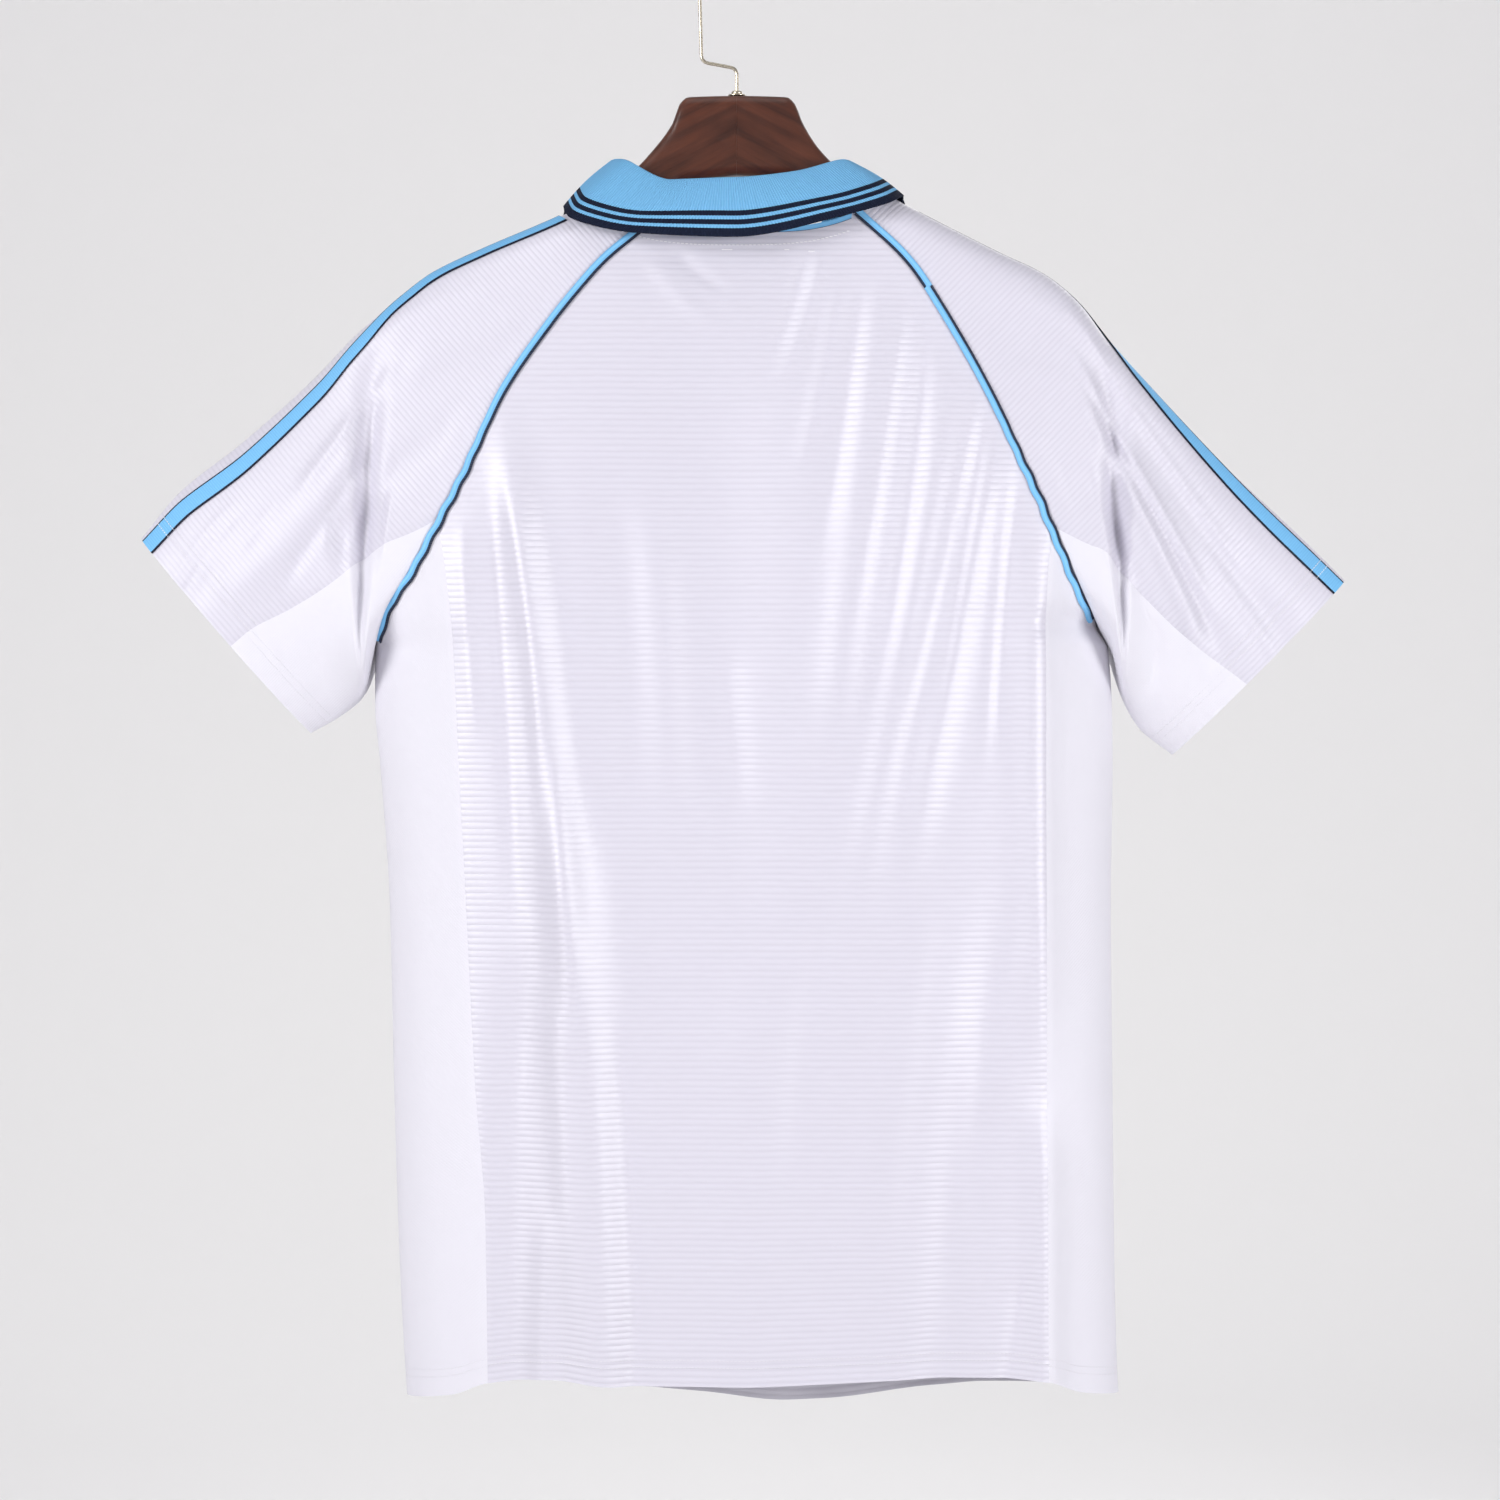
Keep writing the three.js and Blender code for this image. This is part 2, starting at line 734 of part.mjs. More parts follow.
// How far along a sleeve a row is, where its tip row is at a given place.
const alongAt = (row, tip = SLEEVE.tipAt) => {
  if (row <= tipRow) return (row / tipRow) * tip;
  return mix(tip, 1, (row - tipRow) / STEPS.sleeveOuter);
};

function sleeveFold(sideName, along, down) {
  return SLEEVE_FOLDS[sideName].reduce((sum, fold) => {
    const t = (along - fold.start) / (fold.end - fold.start);
    if (t < 0 || t > 1) return sum;
    const path = mix(fold.aroundStart, fold.aroundEnd, t);
    const fade = smooth(t / FOLD_FADE.sleeve) * smooth((1 - t) / FOLD_FADE.sleeve);
    return sum + fold.height * fade * Math.exp(-(((down - path) / fold.width) ** 2));
  }, 0);
}

function sleeveHalf(sideName, face) {
  const side = SIDES[sideName];
  const edge = [
    ...neckEdge(side, face),
    ...raglanSeam(side, face).slice(1),
    ...underarmSeam(side, face).slice(1),
  ];
  const ridge = { top: new THREE.Vector2(...side.tip), foot: new THREE.Vector2(...side.ridgeFoot) };
  const cuff = { top: new THREE.Vector2(...side.cuffTop), foot: new THREE.Vector2(...side.cuffFoot) };
  const ridgeShare = shares(side.underSeamAtRidge);
  const cuffShare = shares(side.underSeamAtCuff);
  const underX = follow(side.underSleeve, 'along', 'x');
  const underZ = follow(side.underSleeve, 'along', 'z');
  const flat = (v) => new THREE.Vector2(v.x, v.z);
  const ridgeDepth = (z) => {
    const foot = clamp((z - side.ridgeFoot[1]) / RIDGE.footRound);
    const head = clamp((side.tip[1] - z) / SHOULDER_ROUND);
    return RIDGE.share * bodyDepth(z) * Math.sqrt(foot * (2 - foot) * head * (2 - head));
  };
  const rows = [];
  for (let row = 0; row <= sleeveRows; row += 1) {
    const along = alongAt(row);
    const underAlong = alongAt(row, SLEEVE.underTipAt);
    const top = topPoint(side, along);
    const foot = new THREE.Vector2(underX(underAlong), underZ(underAlong));
    rows.push(edge.map((seam, j) => {
      if (row === 0) return seam;
      const onRidge = ridge.top.clone().lerp(ridge.foot, ridgeShare[j]);
      const onCuff = cuff.top.clone().lerp(cuff.foot, cuffShare[j]);
      const inner = row <= tipRow;
      const t = inner ? row / tipRow : (row - tipRow) / STEPS.sleeveOuter;
      const from = inner ? flat(seam.point) : onRidge;
      const to = inner ? onRidge : onCuff;
      const down = inner ? mix(j / ringSteps, ridgeShare[j], t) : mix(ridgeShare[j], cuffShare[j], t);
      const ends = inner
        ? [flat(edge[0].point), ridge.top, flat(edge[ringSteps].point), ridge.foot]
        : [ridge.top, cuff.top, ridge.foot, cuff.foot];
      const place = from.clone().lerp(to, t);
      place.addScaledVector(top.clone().sub(ends[0].clone().lerp(ends[1], t)), 1 - down);
      place.addScaledVector(foot.clone().sub(ends[2].clone().lerp(ends[3], t)), down);
      const isEnd = j === 0 || j === ringSteps;
      let depth = 0;
      if (!isEnd && inner) {
        depth = mix(Math.abs(seam.point.y), ridgeDepth(onRidge.y), t);
      } else if (!isEnd) {
        const round = (1 - Math.abs(2 * down - 1) ** SLEEVE.power) ** SLEEVE.flat;
        const own = mix(SLEEVE.depth, side.cuffDepth, t) * round;
        depth = mix(ridgeDepth(onRidge.y), own, smooth(t / SLEEVE.fillsAt));
        depth += sleeveFold(sideName, along, down) * round;
      }
      if (!isEnd && inner) depth += sleeveFold(sideName, along, down) * t;
      return { point: new THREE.Vector3(place.x, FACES[face] * depth, place.y), normal: null };
    }));
  }
  return rows;
}

// The whole sleeve as one ring surface: back half, underside, front half. It fills in the directions.
function sleeveRings(sideName) {
  const back = sleeveHalf(sideName, 'back');
  const front = sleeveHalf(sideName, 'front');
  const rings = back.map((row, i) => [...row, ...front[i].slice(1, -1).reverse()]);
  const count = rings[0].length;
  return rings.map((ring, i) => ring.map((cell, j) => {
    const under = clamp((STEPS.underarm - Math.abs(j - ringSteps)) / STEPS.underarm);
    if (i === 0 && under === 0) return cell;
    const before = rings[Math.max(i - 1, 0)][j].point;
    const after = rings[Math.min(i + 1, sleeveRows)][j].point;
    const along = after.clone().sub(before);
    const round = ring[(j + 1) % count].point.clone().sub(ring[(j + count - 1) % count].point);
    const normal = round.cross(along).multiplyScalar(SIDES[sideName].sign).normalize();
    if (i > 0) return { point: cell.point, normal };
    const point = cell.point.clone().addScaledVector(cell.normal, ARMPIT_CLEARANCE * under);
    return { point, normal: cell.normal.clone().lerp(normal, smooth(under)).normalize() };
  }));
}

function sleevePieces(sideName) {
  const rings = sleeveRings(sideName);
  const count = rings[0].length;
  const seamIndex = STEPS.neckEdge + STEPS.raglan;
  const span = (ring, from, to) =>
    Array.from({ length: to - from + 1 }, (_, k) => ring[(from + k + count) % count]);
  const over = rings.map((ring) => span(ring, -seamIndex, seamIndex));
  const under = rings.map((ring) => span(ring, seamIndex, count - seamIndex));
  return [
    piece(`sleeve_${sideName}`, wallGeometry(trimmed(over), CLOTH), 'ribbed'),
    piece(`under_sleeve_${sideName}`, wallGeometry(trimmed(under), CLOTH), 'plain'),
  ];
}

// Tape along the top of a sleeve, laid on it: each row walks round the ring from the top line.
function sleeveTape(sideName) {
  const side = SIDES[sideName];
  const rings = sleeveRings(sideName);
  const count = rings[0].length;
  const offset = follow(side.tape, 'along', 'offset');
  const walk = (ring, distance) => {
    const step = distance < 0 ? -1 : 1;
    let left = Math.abs(distance);
    let j = 0;
    while (left >= 0) {
      const a = ring[(j + count) % count];
      const b = ring[(j + step + count) % count];
      const length = a.point.distanceTo(b.point);
      if (left <= length) {
        const normal = a.normal.clone().lerp(b.normal, left / length).normalize();
        return { point: a.point.clone().lerp(b.point, left / length), normal };
      }
      left -= length;
      j += step;
    }
    return ring[0];
  };
  const lift = TAPE.thickness + TAPE.lift;
  const rows = rings.slice(1).map((ring, i) => Array.from({ length: TAPE.columns + 1 }, (_, c) => {
    const middle = offset(alongAt(i + 1));
    const cell = walk(ring, middle + TAPE.width * (c / TAPE.columns - 0.5));
    return { point: cell.point.clone().addScaledVector(cell.normal, lift), normal: cell.normal };
  }));
  return piece(`sleeve_tape_${sideName}`, wallGeometry(rows, TAPE.thickness), 'tape');
}

// Piping over a raglan seam, from the neck to the armpit. Lower down it turns onto the side panel.
function piping(sideName, face) {
  const side = SIDES[sideName];
  const seam = raglanSeam(side, face);
  const grid = sideGrid(side).map((row) => (face === 'back' ? row : row.toReversed()));
  const [below, top] = grid.slice(-2);
  seam.push(top[1]);
  const section = (point, toBody, lift) => [-0.5, -PIPING.crownAt, 0.5].map((c) => {
    const crown = c === -PIPING.crownAt ? PIPING.crown : 0;
    return lift(point.clone().addScaledVector(toBody, c * PIPING.width), PIPING.thickness + crown);
  });
  const start = seam[0].point.clone().lerp(seam[1].point, PIPING_START[face]);
  const onPanels = seam.slice(PIPING_START[face] < 1 ? 0 : 1, -1).map((cell, k, cells) => {
    const i = k + seam.length - 2 - cells.length;
    const along = seam[i + 2].point.clone().sub(seam[Math.max(i, 0)].point);
    const toBody = along.cross(cell.normal).normalize();
    if (toBody.x * side.sign > 0) toBody.negate();
    const past = clamp((i + 1 - PIPING.turnsAt) / (STEPS.raglan - PIPING.turnsAt));
    const from = k === 0 ? start : cell.point;
    const middle = from.clone().addScaledVector(toBody, past * PIPING.ontoSide * PIPING.width);
    return section(middle, toBody, (flat, height) => {
      const base = raised(flat, face, PIPING.lift);
      const normal = skinNormal(base, face);
      return { point: base.addScaledVector(normal, height), normal };
    });
  });
  const onSide = top.slice(1, STEPS.underarm - 1).map((cell, i) => {
    const toBody = below[i + 1].point.clone().sub(cell.point).normalize();
    const normal = top[i + 2].point.clone().sub(top[i].point).cross(toBody).normalize();
    if (normal.dot(cell.normal) < 0) normal.negate();
    const middle = cell.point.clone().addScaledVector(toBody, PIPING.ontoSide * PIPING.width);
    return section(middle, toBody, (flat, height) => {
      return { point: flat.addScaledVector(normal, PIPING.lift + height), normal };
    });
  });
  const rows = [...onPanels, ...onSide];
  return piece(`raglan_piping_${face}_${sideName}`, wallGeometry(rows, PIPING.thickness), 'tape');
}

// The narrow tape over the back neck seam, just under the collar leaf.
function neckTape() {
  const left = SIDES.left.raglan.at(-1).x + PIPING.width;
  const right = SIDES.right.raglan.at(-1).x - PIPING.width;
  const lift = NECK_TAPE.thickness + NECK_TAPE.lift;
  const rows = [0, 1].map((down) => Array.from({ length: NECK_TAPE.columns + 1 }, (_, c) => {
    const x = mix(left, right, c / NECK_TAPE.columns);
    const point = skin(x, neckline(x, 'back') - NECK_TAPE.below - down * NECK_TAPE.width, 'back');
    const normal = skinNormal(point, 'back');
    return { point: point.addScaledVector(normal, lift), normal };
  }));
  return piece('neck_tape', wallGeometry(rows, NECK_TAPE.thickness), 'rib');
}

// Collar: a band that stands up from the neck seam, rolls over and falls outside it.

function collarSection(angle, line) {
  const turn = (angle * Math.PI) / 180;
  const face = Math.sin(turn) > 0 ? 'back' : 'front';
  const front = Math.cos((COLLAR_LINE[0].angle * Math.PI) / 180);
  const out = Math.abs(Math.cos(turn));
  const share = face === 'back' ? out ** COLLAR.seamCurve : clamp((out - front) / (1 - front));
  const start = NECK.vMiddle + Math.sign(Math.cos(turn)) * COLLAR.frontGap;
  const x = mix(face === 'back' ? NECK.vMiddle : start, Math.cos(turn) < 0 ? NECK.left : NECK.right, share);
  const seam = skin(x, neckline(x, face), face);
  const normal = skinNormal(seam, face);
  const fold = new THREE.Vector3(line.foldX(angle), line.foldY(angle), line.foldZ(angle));
  const edge = new THREE.Vector3(line.edgeX(angle), line.edgeY(angle), line.edgeZ(angle));
  const leafWay = edge.clone().sub(fold).normalize();
  const standWay = fold.clone().sub(seam).normalize();
  const leafOut = normal.clone().addScaledVector(leafWay, -normal.dot(leafWay)).normalize();
  const neckSide = normal.clone().addScaledVector(standWay, -normal.dot(standWay)).normalize().negate();
  const up = leafWay.clone().negate().add(standWay).normalize();
  const base = seam.clone().addScaledVector(standWay, COLLAR.seamGap);
  const { thickness, roll } = COLLAR;
  const stand = (height) =>
    base.clone().lerp(fold, height).addScaledVector(neckSide, mix(thickness, roll, height));
  const leaf = (drop) => {
    const point = fold.clone().lerp(edge, drop).addScaledVector(leafOut, mix(roll, thickness, drop));
    const belly = COLLAR.belly * Math.sin(Math.PI * drop);
    return raised(point.addScaledVector(leafOut, belly), face, thickness + COLLAR.clearance, true);
  };
  const over = (side, share) => side.clone().lerp(up, share).normalize();
  return [
    ...COLLAR.leafRows.map((drop) => ({ point: leaf(drop), normal: leafOut })),
    { point: fold.clone().addScaledVector(over(leafOut, 0.5), roll), normal: over(leafOut, 0.5) },
    { point: fold.clone().addScaledVector(up, roll), normal: up },
    { point: fold.clone().addScaledVector(over(neckSide, 0.5), roll), normal: over(neckSide, 0.5) },
    ...COLLAR.standRows.map((height) => ({ point: stand(height), normal: neckSide })),
  ];
}

function collar() {
  const columns = Object.keys(COLLAR_LINE[0]).slice(1);
  const line = Object.fromEntries(columns.map((name) => [name, follow(COLLAR_LINE, 'angle', name)]));
  const rows = Array.from({ length: COLLAR.steps + 1 }, (_, i) => {
    return collarSection(mix(COLLAR_LINE[0].angle, COLLAR_LINE.at(-1).angle, i / COLLAR.steps), line);
  });
  return piece('collar', wallGeometry(rows, COLLAR.thickness), 'rib');
}

// Hanger boards: sections across the length, from the tip to the joint. Under the cloth they carry it.
function board(name, rows, end) {
  const top = follow(rows, 'x', 'top');
  const bottom = follow(rows, 'x', 'bottom');
  const half = follow(rows, 'x', 'half');
  const side = end < HANGER.joint ? SIDES.left : SIDES.right;
  const stations = Array.from({ length: tipRow }, (_, row) => topPoint(side, alongAt(row)).x);
  const open = rows.map((row) => row.x).filter((x) => x > NECK.left && x < NECK.right && Math.abs(x) > 3);
  const tips = rows.map((row) => row.x).filter((x) => Math.abs(x) > Math.abs(side.tip[0]) - HANGER.tip);
  const places = [...stations, ...open, ...tips, end].sort((a, b) => a - b);
  const rings = places.map((x) => {
    const slope = shoulderLine(x + 1) - shoulderLine(x);
    const under = shoulderLine(x) - (CLOTH + HANGER.clearance) * Math.hypot(1, slope);
    const high = x > NECK.left && x < NECK.right ? top(x) : Math.min(top(x), under);
    const middle = (high + bottom(x)) / 2;
    return Array.from({ length: HANGER.around }, (_, k) => {
      const angle = (2 * Math.PI * k) / HANGER.around;
      const round = (v) => Math.sign(v) * Math.abs(v) ** (2 / HANGER.power);
      const z = middle + (high - middle) * round(Math.sin(angle));
      return new THREE.Vector3(x, half(x) * round(Math.cos(angle)), z);
    });
  });
  return piece(name, tubeGeometry(rings), 'wood');
}

// A closed solid through rings of points, with a flat cap at each end.
function tubeGeometry(rings) {
  const count = rings[0].length;
  const middle = (ring) => ring.reduce((sum, p) => sum.add(p), new THREE.Vector3()).divideScalar(count);
  const points = [...rings.flat(), middle(rings[0]), middle(rings.at(-1))];
  const faces = [];
  for (let k = 0; k < count; k += 1) {
    const next = (k + 1) % count;
    for (let r = 0; r < rings.length - 1; r += 1) {
      const [a, b] = [r * count + k, r * count + next];
      faces.push([a, b, b + count], [a, b + count, a + count]);
    }
    const last = (rings.length - 1) * count;
    faces.push([points.length - 2, next, k], [points.length - 1, last + k, last + next]);
  }
  return solid(points, faces);
}

// The hook: straight up out of the nut, an offset bend, then round over the crown.
function hook() {
  const { wire, crownRadius, bend, offset, shank, lowBend } = HOOK;
  const path = new THREE.CurvePath();
  const bottom = NUT.seat + NUT.height + HOOK.gap;
  const crown = new THREE.Vector3(0, 0, wire / 2 - crownRadius);
  const corner = [new THREE.Vector3(shank, 0, lowBend), new THREE.Vector3(-offset, 0, lowBend + HOOK.rise)];
  const start = new THREE.Vector3(shank, 0, bottom);
  const side = new THREE.Vector3(-crownRadius, 0, crown.z);
  let from = start;
  corner.forEach((point, i) => {
    const next = corner[i + 1] ?? side;
    const into = point.clone().add(from.clone().sub(point).setLength(bend));
    const out = point.clone().add(next.clone().sub(point).setLength(bend));
    path.add(new THREE.LineCurve3(from, into));
    path.add(new THREE.QuadraticBezierCurve3(into, point, out));
    from = out;
  });
  path.add(new THREE.LineCurve3(from, side));
  const arc = Array.from({ length: HOOK.crownSteps + 1 }, (_, i) => {
    const angle = Math.PI - (i / HOOK.crownSteps) * HOOK.sweep * (Math.PI / 180);
    return new THREE.Vector3(Math.cos(angle) * crownRadius, 0, crown.z + Math.sin(angle) * crownRadius);
  });
  path.add(new THREE.CatmullRomCurve3(arc));
  const section = new THREE.Shape();
  section.absarc(0, 0, wire / 2, 0, 2 * Math.PI);
  const options = { steps: HOOK.steps, extrudePath: path, curveSegments: HOOK.sides, bevelEnabled: false };
  return piece('hanger_hook', new THREE.ExtrudeGeometry(section, options), 'metal');
}

function nut() {
  const { washer, washerHeight, radius, height, chamfer } = NUT;
  const profile = [
    [0, 0],
    [washer, 0],
    [washer, washerHeight],
    [radius, washerHeight],
    [radius, height - chamfer],
    [radius - chamfer, height],
    [0, height],
  ];
  const geometry = new THREE.LatheGeometry(profile.map(([x, y]) => new THREE.Vector2(x, y)), NUT.sides);
  geometry.rotateX(Math.PI / 2);
  geometry.translate(HOOK.shank, 0, NUT.seat);
  return piece('hanger_nut', geometry, 'metal');
}

const group = new THREE.Group();
group.add(panel('back'), panel('front'));
for (const name of ['left', 'right']) {
  group.add(sidePanel(`side_panel_${name}`, SIDES[name]), ...sleevePieces(name), sleeveTape(name));
  group.add(piping(name, 'back'), piping(name, 'front'));
}
group.add(neckTape(), collar());
group.add(board('hanger_board_left', BOARD_LEFT, HANGER.joint - HANGER.jointGap / 2));
group.add(board('hanger_board_right', BOARD_RIGHT, HANGER.joint + HANGER.jointGap / 2));
group.add(nut(), hook());

export default group;
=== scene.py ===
import math

import bpy
import numpy as np
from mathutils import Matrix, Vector


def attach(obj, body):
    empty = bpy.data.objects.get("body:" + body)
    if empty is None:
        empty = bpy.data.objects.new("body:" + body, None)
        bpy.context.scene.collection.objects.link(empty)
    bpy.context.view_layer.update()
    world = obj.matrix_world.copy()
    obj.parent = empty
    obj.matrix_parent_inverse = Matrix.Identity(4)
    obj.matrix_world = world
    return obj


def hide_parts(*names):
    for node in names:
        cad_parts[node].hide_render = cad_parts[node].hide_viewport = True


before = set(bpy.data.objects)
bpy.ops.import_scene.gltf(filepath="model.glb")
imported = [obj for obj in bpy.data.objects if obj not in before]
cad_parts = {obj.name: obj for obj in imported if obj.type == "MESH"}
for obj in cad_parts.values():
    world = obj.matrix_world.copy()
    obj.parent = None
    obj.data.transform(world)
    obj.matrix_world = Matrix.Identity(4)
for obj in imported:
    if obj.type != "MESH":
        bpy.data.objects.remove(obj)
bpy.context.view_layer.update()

# Hanger
# Two shaped boards of dark red-brown lacquered wood, glued at a vertical joint in the middle.
# The router rounded their edges, and a lighter brown is painted along them as a painted highlight.

MM = 0.001


def table(columns, rows):
    return [dict(zip(columns, row)) for row in rows]


def mix(a, b, t):
    return a + (b - a) * t


def clamp(v, low=0.0, high=1.0):
    return np.clip(v, low, high)


def smooth(t):
    t = clamp(t)
    return t * t * (3 - 2 * t)


def unit(v):
    return v / np.maximum(np.linalg.norm(v, axis=-1, keepdims=True), 1e-9)


def xyz(x, y, z):
    return np.stack(np.broadcast_arrays(x, y, z), axis=-1).astype(float)


def follow(rows, by, what):
    """A smooth curve through one column of a table, with no overshoot and straight ends."""
    at = np.array([row[by] for row in rows], float)
    value = np.array([row[what] for row in rows], float)
    step = np.diff(at)
    slope = np.diff(value) / step
    product = slope[:-1] * slope[1:]
    total = slope[:-1] + slope[1:]
    inner = np.where(product > 0, 2 * product / np.where(total == 0, 1, total), 0)
    tangent = np.concatenate([slope[:1], inner, slope[-1:]])

    def curve(v):
        v = np.asarray(v, float)
        i = np.clip(np.searchsorted(at, v, side="right") - 1, 0, len(step) - 1)
        t = (v - at[i]) / step[i]
        rise = (1 - t) ** 2 * t * step[i] * tangent[i] + t * t * (t - 1) * step[i] * tangent[i + 1]
        inside = mix(value[i], value[i + 1], t * t * (3 - 2 * t)) + rise
        before = value[0] + tangent[0] * (v - at[0])
        after = value[-1] + tangent[-1] * (v - at[-1])
        return np.where(v < at[0], before, np.where(v > at[-1], after, inside))

    return curve


class Value:
    """One socket of a shader, which takes part in sums like a number."""

    def __init__(self, shader, socket):
        self.shader = shader
        self.socket = socket

    def math(self, operation, other=None, third=None):
        node = self.shader.tree.nodes.new("ShaderNodeMath")
        node.operation = operation
        for place, value in enumerate((self, other, third)):
            if value is not None:
                self.shader.put(node.inputs[place], value)
        return Value(self.shader, node.outputs[0])

    def __add__(self, other):
        return self.math("ADD", other)

    def __sub__(self, other):
        return self.math("SUBTRACT", other)

    def __mul__(self, other):
        return self.math("MULTIPLY", other)

    def __truediv__(self, other):
        return self.math("DIVIDE", other)

    def __gt__(self, other):
        return self.math("GREATER_THAN", other)

    def __lt__(self, other):
        return self.math("LESS_THAN", other)

    def wave(self, pitch):
        """A sine of the given pitch, from -1 to 1."""
        return (self * (2 * math.pi / pitch)).math("SINE")

    def band(self, low, high):
        """1 between two values and 0 elsewhere."""
        return (self > low) * (self < high)

    def near(self, middle, half):
        """1 at a value, falling to 0 a half width away."""
        return (self - middle).math("ABSOLUTE").math("MULTIPLY_ADD", -1 / half, 1.0).math("MAXIMUM", 0.0)


class Shader:
    """A material with its Principled shader, built from small nodes."""

    def __init__(self, name, **settings):
        self.material = bpy.data.materials.new(name)
        self.material.use_nodes = True
        self.tree = self.material.node_tree
        self.surface = self.tree.nodes["Principled BSDF"]
        for socket, value in settings.items():
            self.put(self.surface.inputs[socket.replace("_", " ")], value)

    def put(self, socket, value):
        if isinstance(value, Value):
            self.tree.links.new(value.socket, socket)
        elif isinstance(value, (tuple, list)) and socket.type == "RGBA":
            socket.default_value = (*value[:3], 1)
        else:
            socket.default_value = value

    def node(self, kind, settings=None, out=0, **sockets):
        node = self.tree.nodes.new(kind)
        for key, value in (settings or {}).items():
            setattr(node, key, value)
        for key, value in sockets.items():
            names = [socket for socket in node.inputs if socket.name == key.replace("_", " ") and socket.enabled]
            self.put(names[0], value)
        return Value(self, node.outputs[out])

    def place(self):
        """Object coordinates, in metres."""
        return self.node("ShaderNodeTexCoord", out=3)

    def uv(self):
        """The piece's own UV map, in metres: along u and v."""
        point = self.node("ShaderNodeUVMap", {"uv_map": "metres"})
        parts = self.tree.nodes.new("ShaderNodeSeparateXYZ")
        self.put(parts.inputs[0], point)
        return point, Value(self, parts.outputs[0]), Value(self, parts.outputs[1])

    def noise(self, at, scale, detail=3.0, rough=0.55):
        return self.node("ShaderNodeTexNoise", Vector=at, Scale=scale, Detail=detail, Roughness=rough)

    def blend(self, share, a, b):
        node = self.tree.nodes.new("ShaderNodeMix")
        node.data_type = "RGBA"
        self.put(node.inputs[0], share)
        self.put(node.inputs[6], a)
        self.put(node.inputs[7], b)
        return Value(self, node.outputs[2])

    def bump(self, height, distance, strength=1.0):
        """The surface raised by height, of which 1 is distance metres."""
        normal = self.node("ShaderNodeBump", Height=height, Distance=distance, Strength=strength)
        self.put(self.surface.inputs["Normal"], normal)

    def colour(self, value):
        self.put(self.surface.inputs["Base Color"], value)


def add_mesh(name, points, faces, uvs=None):
    """A mesh from points in millimetres, with one UV pair in metres for each point."""
    mesh = bpy.data.meshes.new(name)
    mesh.from_pydata((np.asarray(points) * MM).tolist(), [], [list(map(int, face)) for face in faces])
    if uvs is not None:
        layer = mesh.uv_layers.new(name="metres")
        corner = np.zeros(len(mesh.loops), int)
        mesh.loops.foreach_get("vertex_index", corner)
        layer.data.foreach_set("uv", (np.asarray(uvs)[corner] * MM).ravel())
    mesh.validate()
    piece = bpy.data.objects.new(name, mesh)
    bpy.context.collection.objects.link(piece)
    return piece


def choose(piece):
    bpy.ops.object.select_all(action="DESELECT")
    piece.select_set(True)
    bpy.context.view_layer.objects.active = piece


def finish_piece(piece, material, stands_for, angle=50):
    """Shades a piece, gives it its material and ties it to the frame."""
    choose(piece)
    bpy.ops.object.shade_smooth_by_angle(angle=math.radians(angle))
    piece.data.materials.clear()
    piece.data.materials.append(material)
    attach(piece, "root")
    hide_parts(*stands_for)
    return piece


NECK_LEFT, NECK_RIGHT = -92, 96

# The line over the shoulders and down the tops of the sleeves, from cuff to cuff
SHOULDER = table(["x", "z"], [
    [-368, -362],
    [-345, -334],
    [-306, -303],
    [-260, -262],
    [-237, -238],
    [-214, -218],
    [-205, -211],
    [-187, -198],
    [-158, -184],
    [-105, -161],
    [-92, -154],
    [0, -112],
    [96, -150],
    [105, -155],
    [164, -185],
    [191, -198],
    [212, -215],
    [231, -240],
    [260, -272],
    [307, -320],
    [355, -365],
    [378, -388],
])
shoulder_line = follow(SHOULDER, "x", "z")

BOARD_COLUMNS = ["x", "top", "bottom", "half"]
BOARDS = {
    "left": table(BOARD_COLUMNS, [
        [-202.5, -217, -228, 4],
        [-199, -211.5, -234.5, 7],
        [-190, -202, -237.5, 8],
        [-158, -185.5, -232, 9],
        [-110, -165, -207, 10],
        [-92, -158, -194, 10.5],
        [-84, -153, -188, 10.5],
        [-64, -136, -171, 11],
        [-50, -121, -158, 11],
        [-38.5, -105, -147, 11],
        [-34, -93, -143, 11],
        [-29, -89, -142, 11],
        [0.98, -88, -138, 11],
    ]),
    "right": table(BOARD_COLUMNS, [
        [1.02, -88, -138, 11],
        [32, -89, -139.5, 11],
        [37, -93, -140, 11],
        [42, -105, -143, 11],
        [52, -121, -150, 11],
        [66, -135, -163, 11],
        [86, -149.5, -181, 10.5],
        [96, -154.5, -188, 10.5],
        [112, -160.5, -200, 10],
        [164, -187, -230, 9],
        [196, -204, -240, 8],
        [206, -214, -238, 7],
        [209.5, -220, -231, 4],
    ]),
}
BOARD = {"around": 40, "step": 2.0, "power": 4.5, "clearance": 2.0}

wood = Shader("dark_wood", Roughness=0.38, Coat_Weight=0.2, Coat_Roughness=0.15)
at = wood.place()
parts = wood.tree.nodes.new("ShaderNodeSeparateXYZ")
wood.put(parts.inputs[0], at)
out, deep, up = (Value(wood, parts.outputs[k]) for k in range(3))
out = out.math("ABSOLUTE")
joined = wood.tree.nodes.new("ShaderNodeCombineXYZ")
for place, value in enumerate(((out * 0.88 - up * 0.47) * 0.09, deep, out * 0.47 + up * 0.88)):
    wood.put(joined.inputs[place], value)
along_board = Value(wood, joined.outputs[0])
grain = wood.noise(along_board, 150.0, 6.0, 0.62)
pores = wood.noise(along_board, 700.0, 2.0)
cloud = wood.noise(at, 22.0, 2.0)
streak = wood.node("ShaderNodeMapRange", Value=grain * 0.75 + cloud * 0.35, From_Min=0.38, From_Max=0.75)
wood_dark = wood.blend(streak, (0.032, 0.0075, 0.0034), (0.118, 0.031, 0.0135))
